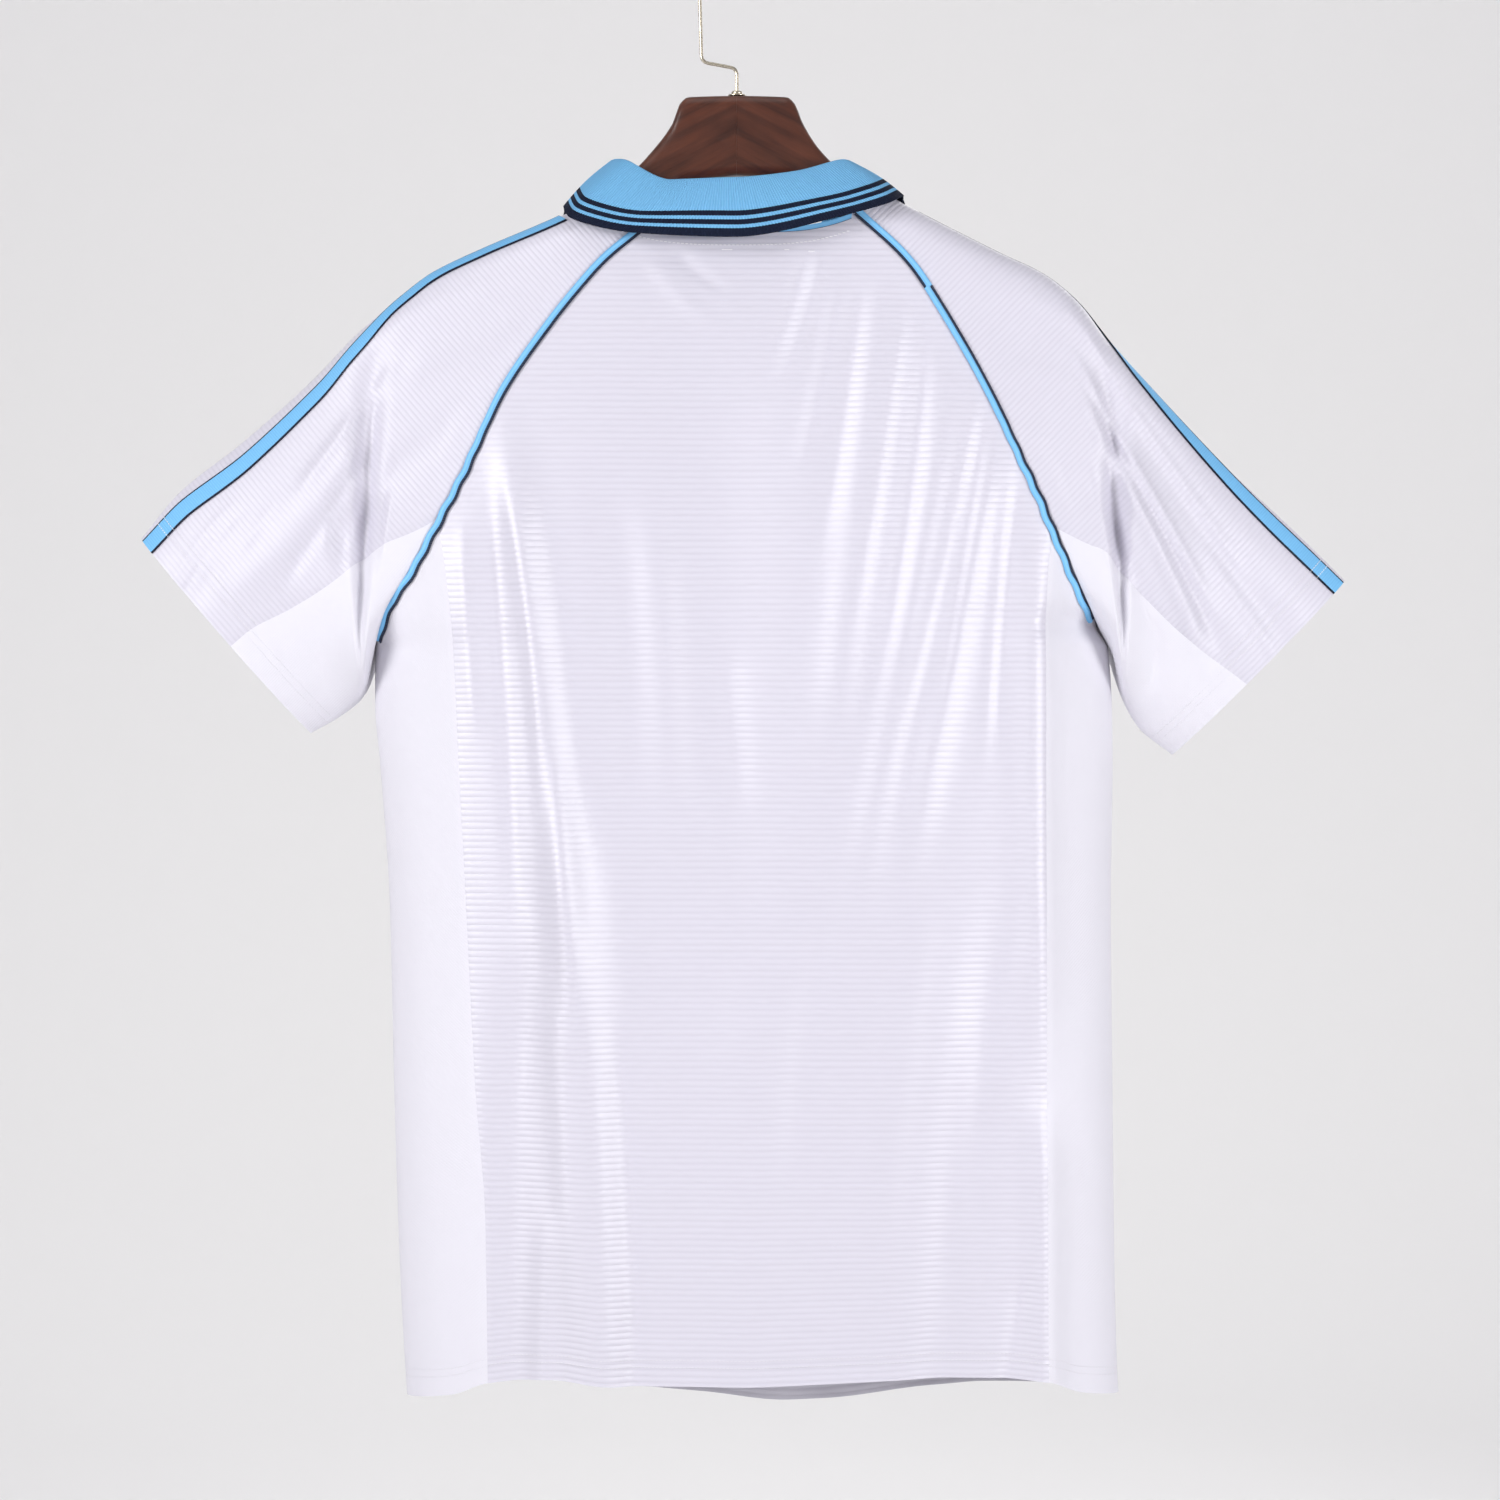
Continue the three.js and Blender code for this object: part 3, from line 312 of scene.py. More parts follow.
# Painted highlight: the rim attribute lays a lighter brown along the boards' rounded edges.
edge = wood.node("ShaderNodeAttribute", {"attribute_name": "rim"}, out=2)
wood.colour(wood.blend(edge * 0.8, wood_dark, (0.24, 0.082, 0.040)))
wood.put(wood.surface.inputs["Roughness"], wood.node("ShaderNodeMapRange", Value=pores, To_Min=0.24, To_Max=0.42))
wood.bump(grain + pores * 0.5, 0.00012)


def tube(rings):
    """Faces of a closed solid through rings of points, with a fan at each end."""
    count = rings.shape[1]
    points = np.concatenate([rings.reshape(-1, 3), rings[:1].mean(axis=1), rings[-1:].mean(axis=1)])
    faces = []
    last = (len(rings) - 1) * count
    for k in range(count):
        follower = (k + 1) % count
        for r in range(len(rings) - 1):
            a, b = r * count + k, r * count + follower
            faces.append([a, b, b + count, a + count])
        faces.append([len(points) - 2, follower, k])
        faces.append([len(points) - 1, last + k, last + follower])
    return points, faces


def make_board(side):
    rows = BOARDS[side]
    curves = {name: follow(rows, "x", name) for name in BOARD_COLUMNS[1:]}
    x = np.arange(rows[0]["x"], rows[-1]["x"], BOARD["step"])
    x = np.append(x[:-1], rows[-1]["x"])
    slope = (shoulder_line(x + 1) - shoulder_line(x - 1)) / 2
    under = shoulder_line(x) - BOARD["clearance"] * np.hypot(1, slope)
    covered = (x < NECK_LEFT) | (x > NECK_RIGHT)
    top = np.where(covered, np.minimum(curves["top"](x), under), curves["top"](x))
    bottom = curves["bottom"](x)
    angle = np.linspace(0, 2 * math.pi, BOARD["around"], endpoint=False)
    out = np.sign(np.cos(angle)) * np.abs(np.cos(angle)) ** (2 / BOARD["power"])
    up = np.sign(np.sin(angle)) * np.abs(np.sin(angle)) ** (2 / BOARD["power"])
    middle, reach = (top + bottom) / 2, (top - bottom) / 2
    rings = xyz(x[:, None], curves["half"](x)[:, None] * out, middle[:, None] + reach[:, None] * up)
    points, faces = tube(rings)
    piece = add_mesh(f"board_{side}", points, faces)
    # The rim weight marks the rounded edges, where the painted highlight goes.
    rim = np.tile(smooth((np.abs(up) - 0.93) / 0.05) * smooth((np.abs(out) - 0.6) / 0.3), (len(x), 1)).ravel()
    layer = piece.data.attributes.new("rim", "FLOAT", "POINT")
    layer.data.foreach_set("value", np.append(rim, [0.0, 0.0]))
    return finish_piece(piece, wood.material, [f"hanger_board_{side}"], 35)


boards = [make_board("left"), make_board("right")]

# Hook
# A pale gold plated steel wire, bent to a crown with an offset in its shank, screwed into the wood
# through a small domed washer and a nut.

NUT = {"seat": -87.8, "washer": 5.5, "washer_height": 0.9, "radius": 3.4, "height": 3.2, "chamfer": 0.8}
HOOK = {"wire": 2.2, "crown": 22, "sweep": 186, "shank": 1.2, "low_bend": -70.5, "rise": 4, "offset": 20.7, "bend": 4.5}

metal = Shader("plated_wire", Base_Color=(0.62, 0.56, 0.45), Metallic=1.0, Roughness=0.28)
scratches = metal.noise(metal.place(), 900.0, 4.0)
metal.put(metal.surface.inputs["Roughness"], metal.node("ShaderNodeMapRange", Value=scratches, To_Min=0.2, To_Max=0.36))


def hook_path():
    """The wire's middle line, from the nut up, with its two bends rounded."""
    low = NUT["seat"] + NUT["height"]
    crown_z = HOOK["wire"] / 2 - HOOK["crown"]
    corners = [(HOOK["shank"], HOOK["low_bend"]), (-HOOK["offset"], HOOK["low_bend"] + HOOK["rise"])]
    way = [np.array([HOOK["shank"], low])]
    points = [way[0]]
    side = np.array([-HOOK["crown"], crown_z])
    for i, corner in enumerate(corners):
        corner = np.array(corner, float)
        after = np.array(corners[i + 1], float) if i + 1 < len(corners) else side
        into = corner + unit(points[-1] - corner) * HOOK["bend"]
        out = corner + unit(after - corner) * HOOK["bend"]
        for t in np.linspace(0, 1, 10):
            points.append(mix(mix(into, corner, t), mix(corner, out, t), t))
    for turn in np.linspace(0, HOOK["sweep"], 60):
        angle = math.pi - math.radians(turn)
        points.append(np.array([math.cos(angle) * HOOK["crown"], crown_z + math.sin(angle) * HOOK["crown"]]))
    return np.array(points)


def make_hook():
    curve = bpy.data.curves.new("hook_line", "CURVE")
    curve.dimensions = "3D"
    curve.bevel_depth = HOOK["wire"] / 2 * MM
    curve.bevel_resolution = 5
    curve.use_fill_caps = True
    line = curve.splines.new("POLY")
    path = hook_path()
    line.points.add(len(path) - 1)
    for point, (x, z) in zip(line.points, path):
        point.co = (x * MM, 0, z * MM, 1)
    piece = bpy.data.objects.new("hook", curve)
    bpy.context.collection.objects.link(piece)
    choose(piece)
    bpy.ops.object.convert(target="MESH")
    return finish_piece(bpy.context.object, metal.material, ["hanger_hook"], 60)


def make_nut():
    bpy.ops.object.select_all(action="DESELECT")
    height = NUT["washer_height"] * MM
    seat = (HOOK["shank"] * MM, 0, NUT["seat"] * MM + height / 2)
    bpy.ops.mesh.primitive_cylinder_add(vertices=48, radius=NUT["washer"] * MM, depth=height, location=seat)
    washer = bpy.context.object
    rise = (NUT["height"] - NUT["washer_height"]) * MM
    top = (seat[0], 0, NUT["seat"] * MM + height + rise / 2)
    bpy.ops.mesh.primitive_cylinder_add(vertices=48, radius=NUT["radius"] * MM, depth=rise, location=top)
    barrel = bpy.context.object
    for part, width in ((washer, 0.3), (barrel, NUT["chamfer"])):
        choose(part)
        edge_round = part.modifiers.new("round", "BEVEL")
        edge_round.width = width * MM
        edge_round.segments = 3
        bpy.ops.object.modifier_apply(modifier="round")
    washer.select_set(True)
    bpy.ops.object.join()
    bpy.ops.object.transform_apply(location=True, rotation=True, scale=True)
    piece = bpy.context.object
    piece.name = "nut"
    return finish_piece(piece, metal.material, ["hanger_nut"], 40)


hook = make_hook()
nut = make_nut()

# Back and front panels
# White satin knit with fine raised ribs across it, cut between the raglan and side seams and
# hemmed with two rows of cover stitching. The back hangs in long soft folds from the shoulders.

CLOTH = 0.8  # thickness of the knit
SEAM_DIP = {"depth": 0.5, "width": 1.4}  # how the cloth draws in at a seam
BODY_POWER = 4
SHOULDER_ROUND = 24
HEM_LEVEL = -905

BODY = table(["z", "left", "right", "depth"], [
    [-905, -202, 239, 43],
    [-880, -204, 237, 44],
    [-803, -208, 235, 47],
    [-710, -211, 234, 49],
    [-586, -214, 233, 50],
    [-500, -220, 234, 50],
    [-465, -223, 233.5, 50],
    [-430, -223, 231, 49],
    [-416, -232, 224, 48.5],
    [-400, -243, 241, 48],
    [-350, -262, 262, 45],
    [-300, -285, 285, 39],
    [-212, -330, 330, 28],
    [-140, -360, 360, 26],
])
body_left = follow(BODY, "z", "left")
body_right = follow(BODY, "z", "right")
body_depth = follow(BODY, "z", "depth")

# The collar seam: it rises to each shoulder point behind, and drops to a V in front.
NECK = {"back_middle": -173, "back_curve": 3, "v_bottom": -246, "v_middle": 2, "v_curve": 1.25}

SIDES = {
    "left": {
        "sign": -1,
        "neck": NECK_LEFT,
        "raglan": table(["z", "x"], [
            [-352, -181],
            [-326, -167.5],
            [-292, -150.5],
            [-272, -140.5],
            [-230, -112],
            [-211, -97],
            [-192, -80],
            [-172.5, -56.5],
        ]),
        "seam": table(["z", "x"], [
            [-905, -150.5],
            [-780, -152],
            [-700, -158],
            [-584, -164],
            [-507, -168],
            [-426, -172],
            [-385, -176],
            [-352, -181],
        ]),
        "front_neck": -70,
    },
    "right": {
        "sign": 1,
        "neck": NECK_RIGHT,
        "raglan": table(["z", "x"], [
            [-357, 194.5],
            [-336, 186],
            [-298, 167],
            [-255, 145],
            [-221, 125.5],
            [-200, 112],
            [-188, 102],
            [-162.8, 74.5],
        ]),
        "seam": table(["z", "x"], [
            [-905, 191.5],
            [-736, 190.5],
            [-426, 189.5],
            [-382, 191],
            [-357, 194.5],
        ]),
        "front_neck": 74,
    },
}

HEM = {
    "back": table(["x", "z"], [
        [-204, -892],
        [-171, -887],
        [-151, -879.5],
        [-110, -876],
        [-70, -879.5],
        [0, -880],
        [149, -875],
        [191, -878],
        [212, -886],
        [238, -890],
    ]),
    "front": table(["x", "z"], [
        [-204, -892],
        [-140, -890],
        [-22, -898],
        [35, -904],
        [155, -891],
        [238, -890],
    ]),
}
hem_line = {face: follow(rows, "x", "z") for face, rows in HEM.items()}

# Folds, each from its top over a middle point to its foot. A trough has a negative height. The first
# ones are the large folds, and the rest are the narrower creases that lie on and between them.
FOLD_COLUMNS = ["x_top", "z_top", "x_mid", "z_mid", "x_foot", "z_foot", "width", "height"]
FOLDS = {
    "back": table(FOLD_COLUMNS, [
        [-145, -270, -111, -500, -98, -700, 11, 7],
        [-112, -480, -92, -680, -84, -905, 20, 9],
        [-128, -600, -134, -740, -134, -905, 13, -4],
        [94, -180, 80, -300, 55, -540, 13, 4],
        [140, -235, 103, -430, 66, -640, 12, 4],
        [164, -280, 136, -415, 100, -600, 10, 4],
        [186, -330, 184, -480, 190, -720, 13, 7],
        [168, -560, 140, -735, 122, -905, 16, -5],
        [188, -700, 190, -820, 190, -905, 12, 7],
        [-18, -200, -14, -400, -22, -700, 42, -6],
        [14, -600, 10, -740, 8, -905, 24, 3],
    ]),
    "front": table(FOLD_COLUMNS, [
        [-120, -280, -100, -545, -96, -905, 20, 6],
        [-160, -340, -150, -480, -128, -700, 14, 4],
        [128, -270, 112, -480, 86, -720, 16, 5],
        [170, -320, 164, -520, 172, -800, 14, 5],
        [0, -300, 4, -520, -8, -860, 40, -6],
        [60, -560, 52, -720, 44, -905, 18, 4],
        [130, -620, 138, -760, 132, -905, 16, -4],
    ]),
}
CREASES = {
    "back": table(FOLD_COLUMNS, [
        [-166, -345, -163, -420, -156, -500, 5, 2.3],
        [-150, -320, -140, -450, -132, -620, 6, -2.3],
        [-146, -300, -125, -420, -118, -560, 5, 1.9],
        [-110, -620, -104, -740, -98, -860, 8, 2.3],
        [-75, -640, -66, -760, -60, -905, 9, -2.9],
        [-78, -300, -66, -420, -64, -560, 14, -2.6],
        [-52, -330, -40, -480, -36, -620, 12, 2],
        [-40, -182, -24, -200, -2, -216, 6, -1.4],
        [-52, -188, -34, -214, -8, -238, 7, 1.3],
        [44, -178, 34, -222, 14, -268, 6, -1.3],
        [56, -176, 44, -226, 22, -280, 5, 1],
        [66, -190, 56, -250, 36, -340, 6, 1.3],
        [80, -186, 70, -270, 48, -390, 6, -1.4],
        [106, -200, 92, -300, 70, -430, 5, 1.5],
        [118, -215, 108, -330, 84, -470, 6, -2],
        [150, -262, 128, -370, 96, -500, 4, 1.5],
        [156, -272, 140, -370, 116, -500, 4, -1.7],
        [170, -300, 160, -400, 150, -520, 4, 1.3],
        [174, -312, 164, -400, 158, -500, 4, -1.3],
        [120, -560, 100, -700, 84, -860, 10, 1.8],
        [60, -560, 44, -660, 34, -780, 10, -1.5],
        [150, -640, 138, -760, 150, -880, 8, 1.3],
        [176, -800, 170, -850, 158, -905, 5, -1.5],
        [-6, -420, -2, -470, 6, -540, 9, -1.7],
        [-30, -500, -20, -560, -22, -640, 12, 1.7],
        [-112, -760, -116, -830, -118, -905, 7, 2.2],
    ]),
    "front": table(FOLD_COLUMNS, [
        [-150, -300, -132, -420, -112, -560, 6, 1.4],
        [-70, -300, -56, -460, -50, -620, 12, -1.6],
        [-30, -300, -22, -400, -26, -520, 10, 1.2],
        [88, -260, 74, -380, 60, -520, 7, 1.6],
        [150, -300, 136, -420, 118, -560, 6, -1.6],
        [30, -640, 22, -740, 26, -880, 12, 1.4],
        [-96, -640, -90, -760, -84, -905, 9, -1.6],
        [104, -600, 96, -720, 100, -860, 8, 1.3],
    ]),
}
FOLD_FADE = {"head": 0.25, "foot": 0.33, "hem": -880}
FACES = {"back": -1, "front": 1}


def fold_height(folds, x, z):
    total = np.zeros(np.broadcast(x, z).shape)
    for fold in folds:
        reach = fold["z_top"] - fold["z_foot"]
        down = (fold["z_top"] - z) / reach
        middle = (fold["z_top"] - fold["z_mid"]) / reach
        bend = (fold["x_mid"] - mix(fold["x_top"], fold["x_foot"], middle)) / (middle * (1 - middle))
        path = mix(fold["x_top"], fold["x_foot"], down) + bend * down * (1 - down)
        foot = 1 if fold["z_foot"] < FOLD_FADE["hem"] else smooth((1 - down) / FOLD_FADE["foot"])
        height = fold["height"] * smooth(down / FOLD_FADE["head"]) * foot
        total += np.where((down >= 0) & (down <= 1), height * np.exp(-(((x - path) / fold["width"]) ** 2)), 0)
    return total


def fullness(x, z):
    """The square of how full the section is: 1 in its middle, 0 on its silhouettes."""
    left, right = body_left(z), body_right(z)
    aside = np.abs((2 * x - left - right) / (right - left))
    below = np.minimum(1, (shoulder_line(x) - z) / SHOULDER_ROUND)
    return (2 * below - below * below) * (1 - aside ** BODY_POWER)


def folds_at(x, z, face, fine=True):
    rows = FOLDS[face] + (CREASES[face] if fine else [])
    return fold_height(rows, x, z) * clamp(fullness(x, z) * 2 - 0.1)


def skin(x, z, face, fine=True):
    """A point of the body's outside, straight out from the middle plane."""
    depth = body_depth(z) * np.sqrt(np.maximum(0, fullness(x, z))) + folds_at(x, z, face, fine)
    return xyz(x, FACES[face] * depth, z)


def outside(x, y, z, face, fine):
    """Zero on the body's surface and positive outside."""
    plain = FACES[face] * y - folds_at(x, z, face, fine)
    return plain * plain - body_depth(z) ** 2 * fullness(x, z)


def skin_slope(points, face, fine=True):
    x, y, z = np.moveaxis(points, -1, 0)
    step = 0.4
    return xyz(
        outside(x + step, y, z, face, fine) - outside(x - step, y, z, face, fine),
        outside(x, y + step, z, face, fine) - outside(x, y - step, z, face, fine),
        outside(x, y, z + step, face, fine) - outside(x, y, z - step, face, fine),
    ) / (2 * step)


def skin_normal(points, face, fine=True):
    return unit(skin_slope(points, face, fine))


def raised(points, face, height, only_out=False):
    """Moves points to a height over the body's outside, or only out as far as that height."""
    moved = points.copy()
    for _ in range(6):
        slope = skin_slope(moved, face)
        x, y, z = np.moveaxis(moved, -1, 0)
        short = height - outside(x, y, z, face, True) / np.linalg.norm(slope, axis=-1)
        if only_out:
            short = np.maximum(short, 0)
        moved = moved + unit(slope) * short[..., None]
    return moved


def neckline(x, face):
    """The neck seam, seen from behind or in front, by its place across."""
    x = np.asarray(x, float)
    end = np.where(x < NECK["v_middle"], NECK_LEFT, NECK_RIGHT)
    out = clamp((x - NECK["v_middle"]) / (end - NECK["v_middle"]))
    top = shoulder_line(end)
    if face == "front":
        return mix(NECK["v_bottom"], top, out ** NECK["v_curve"])
    return mix(NECK["back_middle"], top, out ** NECK["back_curve"])


def neck_end(side, face):
    if face == "back":
        last = side["raglan"][-1]
        return last["x"], last["z"]
    return side["front_neck"], float(neckline(side["front_neck"], "front"))


def raglan_line(side, face, up):
    """The raglan seam, from the side seam up to the neck. In front it is moved to its own neck end."""
    foot, top = side["raglan"][0], side["raglan"][-1]
    end_x, end_z = neck_end(side, face)
    line = follow(side["raglan"], "z", "x")
    share = (line(mix(foot["z"], top["z"], up)) - foot["x"]) / (top["x"] - foot["x"])
    return mix(foot["x"], end_x, share), mix(foot["z"], end_z, up)


def grid_slopes(points):
    return np.gradient(points, axis=0), np.gradient(points, axis=1)


def lengths(points, axis):
    """Distance walked along a grid's rows or columns, from its first point."""
    steps = np.linalg.norm(np.diff(points, axis=axis), axis=-1)
    start = np.zeros_like(np.take(steps, [0], axis=axis))
    return np.concatenate([start, np.cumsum(steps, axis=axis)], axis=axis)


def shell(name, points, normals, thickness, uv):
    """A thin closed sheet: a grid of points, the same grid one thickness in, and a rim round both."""
    rows, columns = points.shape[:2]
    inner = points - normals * thickness
    index = np.arange(rows * columns).reshape(rows, columns)
    quads = np.stack([index[:-1, :-1], index[:-1, 1:], index[1:, 1:], index[1:, :-1]], axis=-1).reshape(-1, 4)
    under = quads[:, ::-1] + rows * columns
    rim = np.concatenate([index[0, :-1], index[:-1, -1], index[-1, :0:-1], index[:0:-1, 0]])
    after = np.roll(rim, -1)
    sides = np.stack([rim, rim + rows * columns, after + rows * columns, after], axis=-1)
    faces = np.concatenate([quads, under, sides])
    down, across = points[1, 1] - points[0, 1], points[1, 1] - points[1, 0]
    middle = (rows // 2, columns // 2)
    down = points[middle[0] + 1, middle[1]] - points[middle]
    across = points[middle[0], middle[1] + 1] - points[middle]
    if np.dot(np.cross(across, down), normals[middle]) < 0:
        faces = faces[:, ::-1]
    every = np.concatenate([points.reshape(-1, 3), inner.reshape(-1, 3)])
    uvs = np.tile(uv.reshape(-1, 2), (2, 1))
    return add_mesh(name, every, faces, uvs)


def seam_dip(points, sides="tblr"):
    """How much the cloth draws in near its seamed edges: top and bottom rows, left and right columns."""
    along, across = lengths(points, 0), lengths(points, 1)
    edges = {
        "t": along,
        "b": along[-1:] - along,
        "l": across,
        "r": across[:, -1:] - across,
    }
    nearest = np.min([edges[name] for name in sides], axis=0)
    return SEAM_DIP["depth"] * np.exp(-((nearest / SEAM_DIP["width"]) ** 2))


RIB = {"pitch": 3.9, "sleeve_pitch": 3.0, "height": 0.00016}
WHITE = (0.625, 0.605, 0.69)
HEM_ROWS = (12.0, 16.5)  # cover stitching, above the hem
CUFF_ROWS = (15.5, 21.0)


def stitch_rows(shader, along, up, rows, half=0.35, pitch=2.4):
    """Rows of short stitches: their height, from 0 to 1."""
    dash = along.wave(pitch * MM) > -0.55
    total = None
    for row in rows:
        line = up.near(row * MM, half * MM) * dash
        total = line if total is None else total + line
    return total


def rib_knit(name, pitch, rows, shine):
    """Satin knit with raised ribs parallel to its lower edge, and cover stitching above it."""
    shader = Shader(name, Roughness=0.33, Sheen_Weight=0.1, Sheen_Roughness=0.4, Specular_IOR_Level=shine)
    shader.put(shader.surface.inputs["Sheen Tint"], (1.0, 1.0, 1.0))
    point, along, up = shader.uv()
    wander = shader.noise(point, 40.0, 2.0) * (0.12 * pitch * MM)
    rib = (up + wander).wave(pitch * MM)
    crown = rib.math("MULTIPLY_ADD", 0.5, 0.5).math("POWER", 0.6)
    fine = along.wave(0.9 * MM) * up.wave(0.8 * MM)
    cloudy = shader.noise(point, 30.0, 3.0)
    stitches = stitch_rows(shader, along, up, rows)
    # Painted shade: the grooves between the raised ribs are painted a darker lavender.
    painted_groove_shade = crown.math("MULTIPLY_ADD", -1.0, 1.0)
    tone = shader.blend(painted_groove_shade * 0.55, WHITE, (0.53, 0.51, 0.595))
    tone = shader.blend(cloudy * 0.12, tone, (0.62, 0.60, 0.67))
    shader.colour(shader.blend(stitches * 0.5, tone, (0.76, 0.75, 0.79)))
    shader.bump(crown + fine * 0.18 + stitches * 1.2, RIB["height"])
    return shader.material


ribbed = rib_knit("ribbed_satin", RIB["pitch"], HEM_ROWS, 0.9)


PANEL_STEPS = {"back": (150, 170, 80), "front": (110, 130, 60)}


def make_panel(face):
    columns, below, above = PANEL_STEPS[face]
    left, right = SIDES["left"], SIDES["right"]
    across = np.linspace(0, 1, columns + 1)[None, :]
    foot = [side["raglan"][0] for side in (left, right)]
    seam = [follow(side["seam"], "z", "x") for side in (left, right)]
    up = np.linspace(0, 1, below + 1)[:, None]
    ends = []
    for side, line in zip(foot, seam):
        hem_z = hem_line[face](line(HEM_LEVEL))
        z = mix(hem_z, side["z"], up)
        ends.append((line(z), z))
    x = mix(ends[0][0], ends[1][0], across)
    z = mix(hem_line[face](x), mix(foot[0]["z"], foot[1]["z"], across), up)
    z[:, :1], z[:, -1:] = ends[0][1], ends[1][1]
    t = np.linspace(0, 1, above + 1)[1:, None]
    top_ends = [neck_end(side, face) for side in (left, right)]
    slips = [end[1] - float(neckline(end[0], face)) for end in top_ends]
    neck_row = neckline(mix(top_ends[0][0], top_ends[1][0], across), face) + mix(slips[0], slips[1], across)
    lines = [raglan_line(side, face, t) for side in (left, right)]
    x_top = mix(lines[0][0], lines[1][0], across)
    z_top = mix(mix(foot[0]["z"], foot[1]["z"], across), neck_row, t)
    x, z = np.concatenate([x, x_top]), np.concatenate([z, z_top])
    points = skin(x, z, face)
    normals = skin_normal(points, face)
    points = points - normals * seam_dip(points, "lrb")[..., None]
    height = z - mix(hem_line[face](x), HEM_LEVEL + 22, smooth((z - HEM_LEVEL) / 160))
    uv = np.stack([x, height], axis=-1)
    piece = shell(f"{face}_cloth", points, normals, CLOTH, uv)
    return finish_piece(piece, ribbed, [f"{face}_panel"])


panels = {face: make_panel(face) for face in FACES}

# Side panels
# Plain white knit with a fine mesh, from hem to armhole, wrapped round each side between the
# back and front side seams.

mesh_knit = Shader("plain_mesh_knit", Base_Color=(0.70, 0.685, 0.755), Roughness=0.6, Sheen_Weight=0.15)
point, along, up = mesh_knit.uv()
cell = (along + up * 0.5).wave(1.3 * MM) * (up - along * 0.5).wave(1.3 * MM)
stitches = stitch_rows(mesh_knit, along, up, HEM_ROWS)
mesh_knit.bump(cell * 0.6 + stitches * 1.5 + mesh_knit.noise(point, 60.0, 2.0) * 1.2, 0.00012)

UNDERARM = {
    "left": table(["z", "x"], [[-430, -223], [-423, -220], [-405, -212.5], [-382, -197], [-363, -187], [-352, -181]]),
    "right": table(["z", "x"], [[-416, 224], [-411, 220.5], [-388, 208], [-373, 201.5], [-365, 198], [-357, 194.5]]),
}
UNDERARM_CROWD = 1.6


def underarm_line(name, along):
    """From the side seam round to the armpit."""
    rows = UNDERARM[name]
    down = 1 - (1 - along) ** UNDERARM_CROWD
    z = mix(rows[-1]["z"], rows[0]["z"], down)
    return follow(rows, "z", "x")(z), z


def turn(x, z):
    """How far round the side a point is: 0 on the silhouette."""
    centre = (body_left(z) + body_right(z)) / 2
    out = np.abs((x - centre) / (body_right(z) - centre))
    return np.arccos(clamp(out ** (BODY_POWER / 2)))


def place_at(sign, angle, z):
    centre = (body_left(z) + body_right(z)) / 2
    return centre + sign * (body_right(z) - centre) * np.cos(angle) ** (2 / BODY_POWER)


def make_side_panel(name):
    side = SIDES[name]
    half, rows = 34, 190
    seam = follow(side["seam"], "z", "x")
    up = np.linspace(0, 1, rows + 1)[:, None]
    parts = []
    for face in FACES:
        away = np.linspace(1, 0, half + 1)[None, :]
        top_x, top_z = underarm_line(name, 1 - away)
        hem_x = place_at(side["sign"], away * turn(seam(HEM_LEVEL), HEM_LEVEL), HEM_LEVEL)
        z = mix(hem_line[face](hem_x), top_z, up)
        seam_turn = turn(seam(top_z), top_z)
        share = mix(away, turn(top_x, top_z) / np.maximum(seam_turn, 1e-6), up ** 2)
        x = place_at(side["sign"], share * turn(seam(z), z), z)
        x[:, :1] = seam(z[:, :1])
        x[-1:, :] = top_x
        points = skin(x, z, face)
        points[:, -1, 1] = 0
        normals = skin_normal(points, face)
        normals[:, -1] = (side["sign"], 0, 0)
        height = z - mix(hem_line[face](hem_x), HEM_LEVEL + 15, smooth((z - HEM_LEVEL) / 160))
        parts.append((points, normals, height))
    points, normals, height = (np.concatenate([a, b[:, -2::-1]], axis=1) for a, b in zip(*parts))
    normals = unit(normals)
    points = points - normals * seam_dip(points, "lrb")[..., None]
    uv = np.stack([lengths(points, 1), height], axis=-1)
    piece = shell(f"side_cloth_{name}", points, normals, CLOTH, uv)
    finish_piece(piece, mesh_knit.material, [f"side_panel_{name}"])
    return piece


side_panels = {name: make_side_panel(name) for name in SIDES}

# Sleeves
# Raglan sleeves of the ribbed knit with their ribs along the cuff, each closed below by a plain knit
# under-sleeve. The cloth falls from the hanger's tip in a soft ridge, beyond which the sleeve stands out.

SLEEVE = {"tip_at": 0.41, "under_tip_at": 0.3, "depth": 34, "fills_at": 0.625, "power": 2.4, "flat": 0.8, "crowd": 0.375}
RIDGE = {"share": 0.84, "foot_round": 38, "drop": 10, "drop_at": 0.1, "drop_width": 0.065}
ARMPIT_CLEARANCE = 1
SLEEVE_SHAPES = {
    "left": {
        "tip": (-205, -211),
        "ridge_foot": (-226, -441),
        "under": table(["along", "x", "z"], [
            [0, -223, -430],
            [0.15, -225, -444],
            [0.3, -227, -453],
            [0.5, -232, -462],
            [0.75, -246, -473],
            [1, -263, -482.5],
        ]),
        "cuff_top": (-368, -362),
        "cuff_foot": (-263, -482.5),
        "under_seam": (0.66, 0.56),
        "cuff_depth": 25,
    },
    "right": {
        "tip": (212, -215),
        "ridge_foot": (231, -433),
        "under": table(["along", "x", "z"], [
            [0, 224, -416],
            [0.15, 234, -436],
            [0.3, 236.5, -449],
            [0.5, 240, -461],
            [0.75, 250, -479],
            [1, 271, -496],
        ]),
        "cuff_top": (378, -388),
        "cuff_foot": (271, -496),
        "under_seam": (0.68, 0.6),
        "cuff_depth": 26,
    },
}
